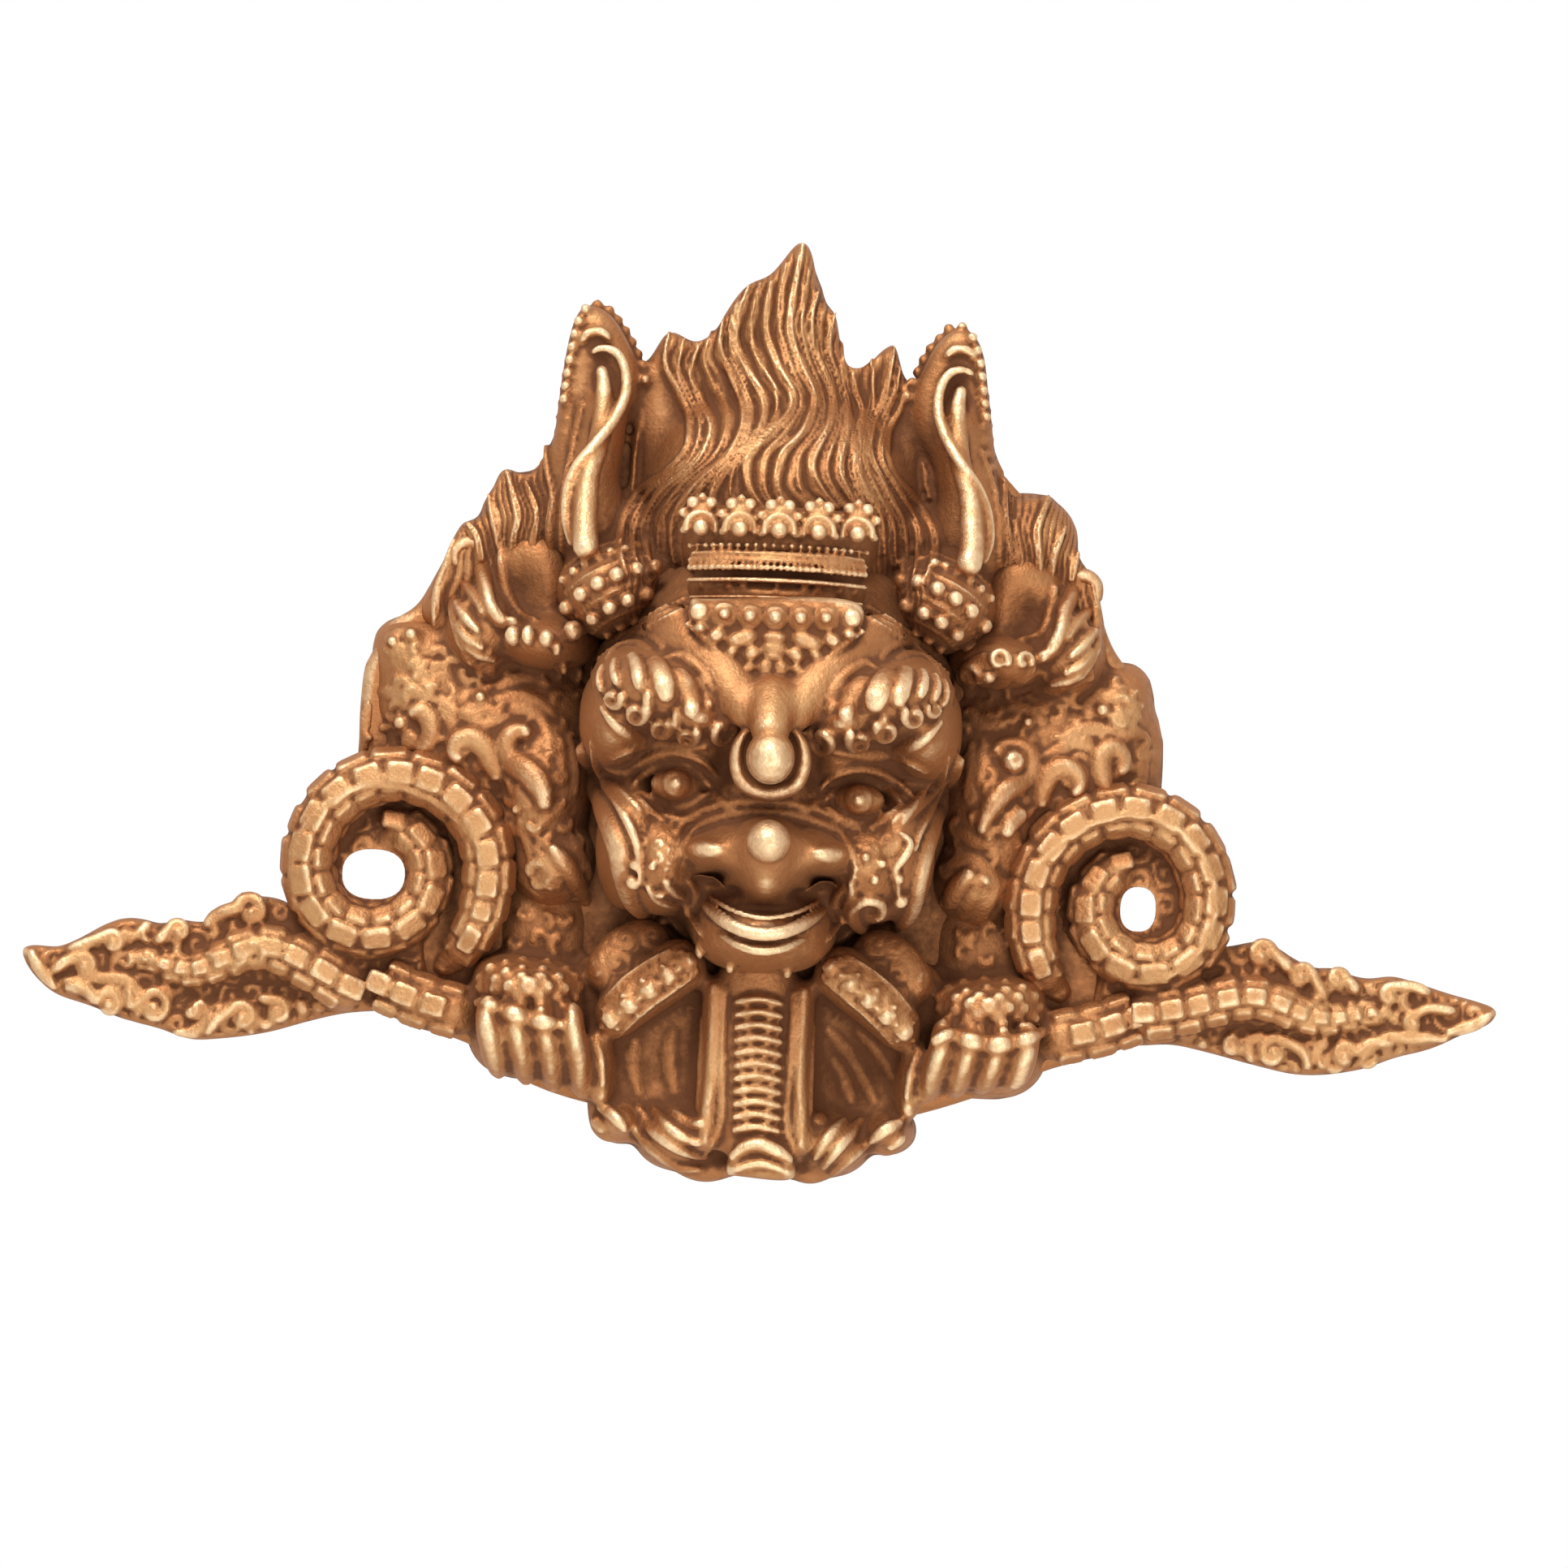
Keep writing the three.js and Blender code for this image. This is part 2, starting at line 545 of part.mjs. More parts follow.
// The outer skin alone: small pockets closed in between overlapping forms are filled
function outerSkin(triangles, vertexCount) {
  const owner = Array.from({ length: vertexCount }, (_, index) => index);
  const find = (index) => {
    let root = index;
    while (owner[root] !== root) root = owner[root];
    owner[index] = root;
    return root;
  };
  for (let k = 0; k < triangles.length; k += 3) {
    owner[find(triangles[k + 1])] = find(triangles[k]);
    owner[find(triangles[k + 2])] = find(triangles[k]);
  }
  const shells = new Map();
  for (let k = 0; k < triangles.length; k += 3) {
    const root = find(triangles[k]);
    if (!shells.has(root)) shells.set(root, []);
    shells.get(root).push(triangles[k], triangles[k + 1], triangles[k + 2]);
  }
  return [...shells.values()].reduce((most, shell) => (shell.length > most.length ? shell : most));
}

function garudaMask() {
  const room = 400;
  const behindWall = solid(new THREE.BoxGeometry(room, room, room).translate(0, room / 2, 0));
  const hollow = dome({ ...HOLLOW, low: -1, sides: 16, rows: 4 });
  const whole = join([
    backPlate(), hair(), horns(), crown(), jewel(), face(), ears(), shoulders(), lowerBody(),
    ...COILS.map(coil), ...SIDES.map(tail), ...SIDES.map(fist),
  ]);
  const made = whole.subtract(hollow).subtract(behindWall).getMesh();
  const geometry = new THREE.BufferGeometry();
  geometry.setAttribute('position', new THREE.BufferAttribute(new Float32Array(made.vertProperties), 3));
  geometry.setIndex(outerSkin(made.triVerts, made.vertProperties.length / 3));
  geometry.computeVertexNormals();
  const brass = new THREE.MeshStandardMaterial({ color: 0x9a6228, roughness: 0.42, metalness: 0.9 });
  const mesh = new THREE.Mesh(geometry, brass);
  mesh.name = 'garuda_mask';
  return mesh;
}

const group = new THREE.Group();
group.add(garudaMask());

export default group;
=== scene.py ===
# A cast brass garuda face for a wall, dressed in its relief, its dark tarnish with painted shade in the
# hollows, and its worn high points with painted highlights.
# The frame is in metres. The carving is worked out in millimetres: across, up, and out from the wall.
import math
from functools import lru_cache

import bpy
import numpy as np
from bpy.props import FloatProperty, FloatVectorProperty, PointerProperty
from mathutils import Matrix, Vector
from mathutils.bvhtree import BVHTree


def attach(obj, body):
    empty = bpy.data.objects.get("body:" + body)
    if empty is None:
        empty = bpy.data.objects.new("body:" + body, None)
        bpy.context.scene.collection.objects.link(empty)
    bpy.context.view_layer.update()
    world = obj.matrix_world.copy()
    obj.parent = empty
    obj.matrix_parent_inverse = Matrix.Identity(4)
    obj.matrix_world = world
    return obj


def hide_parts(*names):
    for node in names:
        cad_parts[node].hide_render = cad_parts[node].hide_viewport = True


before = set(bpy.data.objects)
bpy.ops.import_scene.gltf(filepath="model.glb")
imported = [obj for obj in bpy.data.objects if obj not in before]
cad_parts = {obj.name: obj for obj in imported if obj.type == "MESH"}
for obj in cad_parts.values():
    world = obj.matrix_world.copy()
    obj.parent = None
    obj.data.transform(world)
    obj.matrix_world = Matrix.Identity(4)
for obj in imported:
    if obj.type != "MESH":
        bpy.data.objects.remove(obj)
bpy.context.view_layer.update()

bl_info = {
    "name": "Garuda Mask",
    "version": (1, 0, 0),
    "blender": (4, 5, 0),
    "location": "View3D > Sidebar > Garuda Mask",
    "description": "Models a cast brass garuda face with its carving and patina",
    "category": "Object",
}

MM = 0.001
SIDES = (-1, 1)
TOWARDS_VIEWER = np.array((0.0, -1.0, 0.0))
TOWARDS_WALL = Vector((0, 1, 0))
RAY_START = -150
NODE = "garuda_mask"
# Each piece with the distance of its flat back from the wall in millimetres, so that no two backs lie in one
# plane, and with the triangles it may have
PIECES = {
    "face": (0.1, 190000),
    "hair_and_horns": (0.2, 190000),
    "crown": (0.3, 80000),
    "ears_and_shoulders": (0.4, 170000),
    "left_serpent": (0.45, 125000),
    "right_serpent": (0.55, 125000),
    "fists_and_body": (0.6, 185000),
    "back_plate": (0.0, 24000),
}


def at(across, up, out):
    """Places in millimetres, as rows of x, y and z."""
    return np.stack(np.broadcast_arrays(across, -np.asarray(out, float), up), axis=-1)


def flip(path, side):
    """A path on its own side, or mirrored to the other where side is -1."""
    return [(side * across, *rest) for across, *rest in path]


def unit(rows):
    return rows / np.maximum(np.linalg.norm(rows, axis=-1, keepdims=True), 1e-9)


def smooth_path(points, step=0.6):
    """Points a step apart along a smooth curve through the given ones."""
    points = np.asarray(points, float)
    gaps = np.maximum(np.sqrt(np.linalg.norm(np.diff(points, axis=0), axis=1)), 1e-3)
    knots = np.concatenate(((0.0,), np.cumsum(gaps)))
    slopes = np.gradient(points, knots, axis=0)
    t = np.linspace(0, knots[-1], 12 * len(points))
    k = np.clip(np.searchsorted(knots, t, side="right") - 1, 0, len(knots) - 2)
    gap = (knots[k + 1] - knots[k])[:, None]
    u = (t - knots[k])[:, None] / gap
    dense = ((2 * u ** 3 - 3 * u ** 2 + 1) * points[k] + (u ** 3 - 2 * u ** 2 + u) * gap * slopes[k]
             + (3 * u ** 2 - 2 * u ** 3) * points[k + 1] + (u ** 3 - u ** 2) * gap * slopes[k + 1])
    lengths = np.concatenate(((0.0,), np.cumsum(np.linalg.norm(np.diff(dense, axis=0), axis=1))))
    places = np.linspace(0, lengths[-1], max(4, round(lengths[-1] / step) + 1))
    return np.stack([np.interp(places, lengths, column) for column in dense.T], axis=1)


def sizes_along(sizes, places):
    """Sizes at places from 0 to 1 along a path, over which the given ones are spread evenly."""
    sizes = np.atleast_1d(np.asarray(sizes, float))
    if len(sizes) == 1:
        return np.full(len(places), sizes[0])
    return np.interp(places, np.linspace(0, 1, len(sizes)), sizes)


def eased(rows, reach=2):
    """A running mean along a path, with its ends kept."""
    for _ in range(reach):
        padded = np.concatenate((rows[:1], rows, rows[-1:]))
        rows = (padded[:-2] + 2 * padded[1:-1] + padded[2:]) / 4
    return rows


@lru_cache(maxsize=None)
def ring_faces(rows, sides):
    """Faces of a skin through rings of points, closed on a point at each end."""
    faces = []
    for row in range(rows - 1):
        for k in range(sides):
            a, b = row * sides + k, row * sides + (k + 1) % sides
            faces.append((a, b, b + sides, a + sides))
    first, last = rows * sides, rows * sides + 1
    for k in range(sides):
        faces.append((first, (k + 1) % sides, k))
        faces.append((last, (rows - 1) * sides + k, (rows - 1) * sides + (k + 1) % sides))
    return faces


def superellipse(turn, power):
    cosine, sine = np.cos(turn), np.sin(turn)
    return (np.sign(cosine) * np.abs(cosine) ** (2 / power), np.sign(sine) * np.abs(sine) ** (2 / power))


class Carving:
    """Closed forms that overlap. They are cast into one skin, and more forms are then laid on that skin."""

    def __init__(self, ground=0.0):
        self.points, self.faces, self.count = [], [], 0
        self.tree, self.ground = None, ground

    def add(self, points, faces):
        self.points.append(points)
        self.faces.extend(tuple(k + self.count for k in face) for face in faces)
        self.count += len(points)

    def rings(self, rings):
        ends = np.stack((rings[0].mean(axis=0), rings[-1].mean(axis=0)))
        self.add(np.concatenate((rings.reshape(-1, 3), ends)), ring_faces(*rings.shape[:2]))

    def surface(self, across, up):
        """How far the carving stands out at a place, and which way it faces there."""
        place, normal, _, _ = self.tree.ray_cast(Vector((across, RAY_START, up)), TOWARDS_WALL)
        if place is None:
            return self.ground, TOWARDS_VIEWER
        normal = np.array(normal)
        return -place.y, -normal if normal[1] > 0 else normal

    def drape(self, path, upright=0.5):
        found = [self.surface(*place) for place in path]
        out = eased(np.array([out for out, _ in found])[:, None], 3)[:, 0]
        normal = eased(unit(np.array([normal for _, normal in found]) + upright * TOWARDS_VIEWER), 3)
        return at(path[:, 0], path[:, 1], out), unit(normal)

    def stroke(self, path, wide, high=None, lift=0.0, power=2.0, sides=8, step=0.6, blunt=True, upright=0.5):
        """A rounded bar along a path, which lies on the carving unless the path says how far out it is."""
        path = smooth_path(path, step)
        places = np.linspace(0, 1, len(path))
        wide = sizes_along(wide, places)
        high = wide if high is None else sizes_along(high, places)
        if path.shape[1] == 2:
            centre, normal = self.drape(path, upright)
        else:
            centre = at(*path.T)
            normal = np.broadcast_to(TOWARDS_VIEWER, centre.shape)
        centre = centre + normal * sizes_along(lift, places)[:, None]
        along = unit(np.gradient(centre, axis=0))
        side = unit(np.cross(along, normal))
        rise = np.cross(side, along)
        if blunt:
            lengths = np.concatenate(((0.0,), np.cumsum(np.linalg.norm(np.diff(centre, axis=0), axis=1))))
            for near, size in ((lengths, wide[0]), (lengths[-1] - lengths, wide[-1])):
                shrink = np.sqrt(np.clip(1 - (1 - np.clip(near / max(size, 1e-3), 0, 1)) ** 2, 0.02, 1))
                wide, high = wide * shrink, high * shrink
        cosine, sine = superellipse(np.linspace(0, 2 * np.pi, sides, endpoint=False), power)
        self.rings(centre[:, None] + (wide[:, None] * cosine)[..., None] * side[:, None]
                   + (high[:, None] * sine)[..., None] * rise[:, None])

    def pillow(self, centre, half, axes, power=2.0, sides=8, rows=5, bulge=2.0):
        """A closed rounded block about a centre, with half sizes along three axes."""
        rise = np.linspace(-np.pi / 2, np.pi / 2, rows + 2)[1:-1]
        spread, climb = superellipse(rise, bulge)
        cosine, sine = superellipse(np.linspace(0, 2 * np.pi, sides, endpoint=False), power)
        first, second, third = (np.asarray(axis, float) * size for axis, size in zip(axes, half))
        self.rings(np.asarray(centre, float) + (spread[:, None] * cosine)[..., None] * first
                   + (spread[:, None] * sine)[..., None] * second + climb[:, None, None] * third)

    def bead(self, across, up, radius, lift=0.2, high=None, tall=None, lean=0.0, power=2.0, sides=8):
        """A rounded stud on the carving, leaning by an angle in degrees."""
        out, normal = self.surface(across, up)
        normal = unit(normal + 0.7 * TOWARDS_VIEWER)
        angle = math.radians(lean)
        flat = np.array((math.cos(angle), 0.0, math.sin(angle)))
        second = unit(np.cross(normal, flat))
        first = np.cross(second, normal)
        centre = at(across, up, out) + normal * lift * radius
        half = (radius, radius if tall is None else tall, radius if high is None else high)
        self.pillow(centre, half, (first, second, normal), power, sides)

    def beads(self, path, radius, pitch, lift=0.2, **more):
        """Studs along a path."""
        for place in smooth_path(path, pitch):
            self.bead(place[0], place[1], radius, lift, **more)

    def ball(self, across, up, out, wide, tall, deep, power=2.0, sides=24, rows=11):
        self.pillow(at(across, up, out), (wide, tall, deep), ((1, 0, 0), (0, 0, 1), (0, 1, 0)), power, sides,
                    rows)

    def curl(self, across, up, reach, thick, start=0.0, turns=1.2, hand=1, lead=(), lift=0.25, eye=True,
             **more):
        """A scroll that winds in from its outer end, after any leading points."""
        count = max(6, int(12 * turns))
        places = np.linspace(0, 1, count)
        turn = math.radians(start) + hand * places * turns * 2 * np.pi
        radius = (reach - 0.6 * thick) * (1 - 0.72 * places ** 1.1)
        path = [tuple(point) for point in lead]
        path += list(zip(across + radius * np.cos(turn), up + radius * np.sin(turn)))
        share = len(lead) / len(path)
        sizes = np.interp(np.linspace(0, 1, 9), (0, share, 1), (0.5 if len(lead) else 0.9, 1.0, 0.72)) * thick
        self.stroke(path, sizes, lift=lift * thick, step=0.5, **more)
        if eye:
            self.bead(across, up, 0.62 * thick, 0.9)

    def dome(self, across, up, wide, tall, out, low=0.0, power=2.0, waist=0.0, lean=0.0, sides=40, rows=12):
        """A boss on a flat base. Waist draws its lower half in."""
        turn = np.linspace(0, 2 * np.pi, sides, endpoint=False)
        rise = np.linspace(0, np.pi / 2, rows, endpoint=False)[:, None]
        cosine, sine = superellipse(turn, power)
        reach = wide * np.cos(rise) * cosine * (1 - waist * np.maximum(0, -np.sin(turn)))
        climb = tall * np.cos(rise) * sine
        angle = math.radians(lean)
        x = across + reach * math.cos(angle) - climb * math.sin(angle)
        z = up + reach * math.sin(angle) + climb * math.cos(angle)
        y = -(low + (out - low) * np.sin(rise)) * np.ones_like(x)
        rings = np.stack((x, y, z), axis=-1)
        ends = at(across, up, np.array((low, out)))
        self.add(np.concatenate((rings.reshape(-1, 3), ends)), ring_faces(rows, sides))

    def plate(self, outline, low, out, soft=1.2, step=1.2, smooth=True):
        """A flat plate with a softened front edge."""
        ring = np.asarray(outline, float)
        if smooth:
            ring = smooth_path(np.concatenate((ring, ring[:1])), step)[:-1]
        ahead, behind = np.roll(ring, -1, axis=0), np.roll(ring, 1, axis=0)
        along = unit(ahead - behind)
        inward = np.stack((-along[:, 1], along[:, 0]), axis=1)
        area = 0.5 * np.sum(ring[:, 0] * ahead[:, 1] - ahead[:, 0] * ring[:, 1])
        inward *= np.sign(area)
        rings = [at(*ring.T, low)]
        for share in np.linspace(0, 1, 4):
            angle = share * np.pi / 2
            inset = ring + inward * soft * (1 - math.cos(angle))
            rings.append(at(*inset.T, out - soft * (1 - math.sin(angle))))
        count = len(ring)
        faces = [(row * count + k, row * count + (k + 1) % count, (row + 1) * count + (k + 1) % count,
                  (row + 1) * count + k) for row in range(len(rings) - 1) for k in range(count)]
        faces.append(tuple(range(count)))
        faces.append(tuple(reversed(range((len(rings) - 1) * count, len(rings) * count))))
        self.add(np.concatenate(rings), faces)

    def settle(self, grain=None, passes=6, shape=None):
        """Ends a stage, so that what follows lies on it. A grain casts the forms into one skin first."""
        points = np.concatenate(self.points)
        if grain:
            piece = mesh_object("stage", points, self.faces)
            modify(piece, "REMESH", mode="VOXEL", voxel_size=grain * MM)
            modify(piece, "SMOOTH", factor=0.5, iterations=passes)
            points = vertex_places(piece) / MM
            if shape:
                points = shape(points)
            self.faces = [tuple(face.vertices) for face in piece.data.polygons]
            discard(piece)
        self.points, self.count = [points], len(points)
        self.tree = BVHTree.FromPolygons(points.tolist(), self.faces)

    def bare(self, points):
        """Where points lie on the last settled skin: 1 on bare ground, 0 on forms laid on it and behind."""
        share = np.zeros(len(points))
        for k in np.flatnonzero(points[:, 1] < -2):
            x, y, z = points[k]
            place, _, _, _ = self.tree.ray_cast(Vector((x, RAY_START, z)), TOWARDS_WALL)
            if place is not None:
                share[k] = np.clip(1.6 - abs(-y + place.y) / 0.5, 0, 1)
        return share


def scrolls(points, share, cell=5.2, pitch=2.1, depth=0.45):
    """Works packed small scrolls into the front, by a share of the depth at each point."""
    x, z = points[:, 0], points[:, 2]
    near, edge = np.full(len(points), 1e9), np.full(len(points), 1e9)
    offset = np.zeros((len(points), 2))
    spin = np.zeros(len(points))
    column, row = np.floor(x / cell), np.floor(z / cell)
    for step_x in (-1, 0, 1):
        for step_z in (-1, 0, 1):
            a, b = column + step_x, row + step_z
            jitter = np.sin(a * 12.99 + b * 78.23) * 43.76, np.sin(a * 39.35 + b * 11.13) * 24.63
            jitter = [value - np.floor(value) for value in jitter]
            away_x = x - (a + 0.2 + 0.6 * jitter[0]) * cell
            away_z = z - (b + 0.2 + 0.6 * jitter[1]) * cell
            far = np.hypot(away_x, away_z)
            closer = far < near
            edge = np.where(closer, near, np.minimum(edge, far))
            near = np.where(closer, far, near)
            offset = np.where(closer[:, None], np.stack((away_x, away_z), axis=1), offset)
            spin = np.where(closer, 6.28 * jitter[0], spin)
    turn = np.arctan2(offset[:, 1], offset[:, 0])
    hand = np.where(np.sin(7 * spin) > 0, 1, -1)
    wave = 0.5 + 0.5 * np.cos(2 * np.pi * near / pitch - hand * turn + spin)
    wave = wave ** 0.7 * np.clip((edge - near) / 0.9, 0, 1)
    points[:, 1] += share * depth * (0.62 - wave)
    return points


def strands(points, guides, share, count=4, depth=0.5):
    """Combs a count of grooves between neighbouring guides into the front, by a share at each point."""
    x, z = points[:, 0], points[:, 2]
    paths = [smooth_path(guide, 0.5) for guide in guides]
    lines = np.sort([np.interp(z, path[:, 1], path[:, 0]) for path in paths], axis=0)
    place = np.full(len(points), -1.0)
    for k, (left, right) in enumerate(zip(lines, lines[1:])):
        here = (x >= left) & (x < right)
        place[here] = k + ((x - left) / np.maximum(right - left, 0.8))[here]
    ridge = np.abs(np.sin(np.pi * count * place + 0.5 * np.sin(0.9 * z + 5 * np.floor(place)))) ** 0.8
    points[:, 1] += np.where(place < 0, 0, share * depth * (0.6 - ridge))
    return points


def foliage(carving, chance, across, up, wide, tall, cell=3.7, size=0.7):
    """Small comma-shaped leaves, strewn over an oval region of the carving."""
    for row in np.arange(-tall, tall + 0.1, cell):
        for column in np.arange(-wide, wide + 0.1, cell):
            a, b = column + chance.uniform(-0.3, 0.3) * cell, row + chance.uniform(-0.3, 0.3) * cell
            if (a / wide) ** 2 + (b / tall) ** 2 > 1.1:
                continue
            reach = chance.uniform(0.36, 0.5) * cell
            start, hand = chance.uniform(0, 6.28), chance.choice((-1, 1))
            turn = start + hand * np.linspace(0, 3.9, 6)
            radius = reach * np.linspace(1.1, 0.35, 6)
            thick = size * chance.uniform(0.8, 1.25)
            path = np.stack((across + a + radius * np.cos(turn), up + b + radius * np.sin(turn)), axis=1)
            if any(carving.surface(*place)[0] <= carving.ground for place in path):
                continue
            carving.stroke(path, (0.3 * thick, thick, 1.1 * thick, 0.8 * thick), high=0.8 * thick, lift=0.05)


# Mesh objects

def only(piece):
    bpy.ops.object.select_all(action="DESELECT")
    piece.select_set(True)
    bpy.context.view_layer.objects.active = piece


def mesh_object(name, points, faces):
    mesh = bpy.data.meshes.new(name)
    mesh.from_pydata((np.asarray(points) * MM).tolist(), [], faces)
    piece = bpy.data.objects.new(name, mesh)
    bpy.context.scene.collection.objects.link(piece)
    only(piece)
    return piece


def modify(piece, kind, **settings):
    """Adds a modifier with its settings and applies it."""
    modifier = piece.modifiers.new(kind.title(), kind)
    for name, value in settings.items():
        setattr(modifier, name, value)
    only(piece)
    bpy.ops.object.modifier_apply(modifier=modifier.name)


def vertex_places(piece):
    places = np.empty(3 * len(piece.data.vertices))
    piece.data.vertices.foreach_get("co", places)
    return places.reshape(-1, 3)


def place_vertices(piece, places):
    piece.data.vertices.foreach_set("co", np.asarray(places, np.float32).ravel())
    piece.data.update()


def discard(piece):
    mesh = piece.data
    bpy.data.objects.remove(piece)
    bpy.data.meshes.remove(mesh)


def cast(name, carving, grain, cutters=(), passes=1, shape=None):
    """Casts a carving into one skin, cuts its back flat and its hollow out, and limits its triangles."""
    back, most = PIECES[name]
    piece = mesh_object(name, np.concatenate(carving.points), carving.faces)
    modify(piece, "REMESH", mode="VOXEL", voxel_size=grain * MM)
    modify(piece, "SMOOTH", factor=0.5, iterations=passes)
    if shape:
        place_vertices(piece, shape(vertex_places(piece) / MM) * MM)
    room = 400
    bpy.ops.mesh.primitive_cube_add(size=room * MM, location=(0, (room / 2 - back) * MM, 0))
    wall = bpy.context.object
    for cutter in (wall, *cutters):
        modify(piece, "BOOLEAN", operation="DIFFERENCE", solver="MANIFOLD", object=cutter)
    for cutter in (wall, *cutters):
        discard(cutter)
    triangles = sum(len(face.vertices) - 2 for face in piece.data.polygons)
    if triangles > most:
        modify(piece, "DECIMATE", ratio=most / triangles)
    only(piece)
    bpy.ops.object.shade_smooth()
    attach(piece, "root")
    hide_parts(NODE)


# Face

HEAD = dict(across=0, up=-50, wide=31.5, tall=38, out=39, power=2.5, waist=0.34)
HOLLOW = dict(across=0, up=-52, wide=25, tall=31, out=32, low=-1, power=2.2, waist=0.3)


def hollow_cutter():
    """The room behind the head, which is cut out of every piece that reaches into it."""
    hollow = Carving()
    hollow.dome(**HOLLOW)
    return mesh_object("hollow", np.concatenate(hollow.points), hollow.faces)


def dent(points, across, up, wide, tall, depth, least_out=12):
    """Sinks a soft round hollow into the front."""
    reach = ((points[:, 0] - across) / wide) ** 2 + ((points[:, 2] - up) / tall) ** 2
    front = points[:, 1] < -least_out
    points[:, 1] += np.where(front, depth * np.exp(-2.2 * reach), 0)
    return points


def face_forms(face):
    """Main forms of the head, cast into one skin with its hollows for eyes, nostrils and mouth."""
    face.dome(**HEAD)
    for side in SIDES:
        face.dome(side * 18.4, -40.6, 12.4, 8.6, 46.5, low=18, power=2.2, lean=side * 10)
        face.dome(side * 12.4, -44.6, 7.6, 5.2, 47, low=18, power=2.2, lean=side * 14)
        face.dome(side * 25.6, -45.5, 6.8, 9.5, 38.5, low=10, power=2.4)
        face.dome(side * 22, -64, 6.6, 14, 34.5, low=10, lean=side * 6)
        face.dome(side * 17.0, -68, 8, 10.5, 36.6, low=12, power=2.4)
        face.stroke(flip(((21, -28.4, 28.4), (16, -31, 34.6), (10.4, -35.6, 38.8), (5.6, -41, 42),
                          (2.4, -46, 44.6)), side), (3.0, 4.6, 4.8, 4.2, 3.0), high=(1.6, 3.0, 3.2, 3.0, 2.6),
                    sides=16)
    face.stroke(((0, -38, 39), (0, -42, 43.4), (0, -46, 47.2), (0, -49.5, 49.4)), (3.4, 4.2, 3.6, 3.0),
                sides=16)
    face.dome(0.4, -66.8, 13.8, 6.8, 44.6, low=24, power=2.5)
    face.dome(0.4, -66.8, 8.4, 8.2, 48.0, low=24, power=2.0)
    for side in SIDES:
        face.dome(0.5 + side * 8.8, -66.8, 6.6, 3.6, 43.2, low=24)
    face.dome(0.4, -70.8, 5.4, 5.8, 45.6, low=24)
    face.dome(0.2, -79.5, 12.6, 8.2, 38.8, low=14, power=2.3)

    def sockets(points):
        for side in SIDES:
            dent(points, side * 14.5, -56, 8.4, 4.8, 7.0)
            dent(points, side * 7.2, -52.4, 4.0, 6, 5.4)
            dent(points, side * 13.5, -79, 3, 7, 3.5)
            dent(points, 0.5 + side * 8.6, -71.6, 2.8, 1.5, 4.0)
        dent(points, 0, -76.4, 9, 1.8, 3.0)
        dent(points, 0, -81.6, 8, 1.4, 2.5)
        return dent(points, 0, -33, 8, 8, 1.2)

    face.settle(grain=0.8, passes=8, shape=sockets)


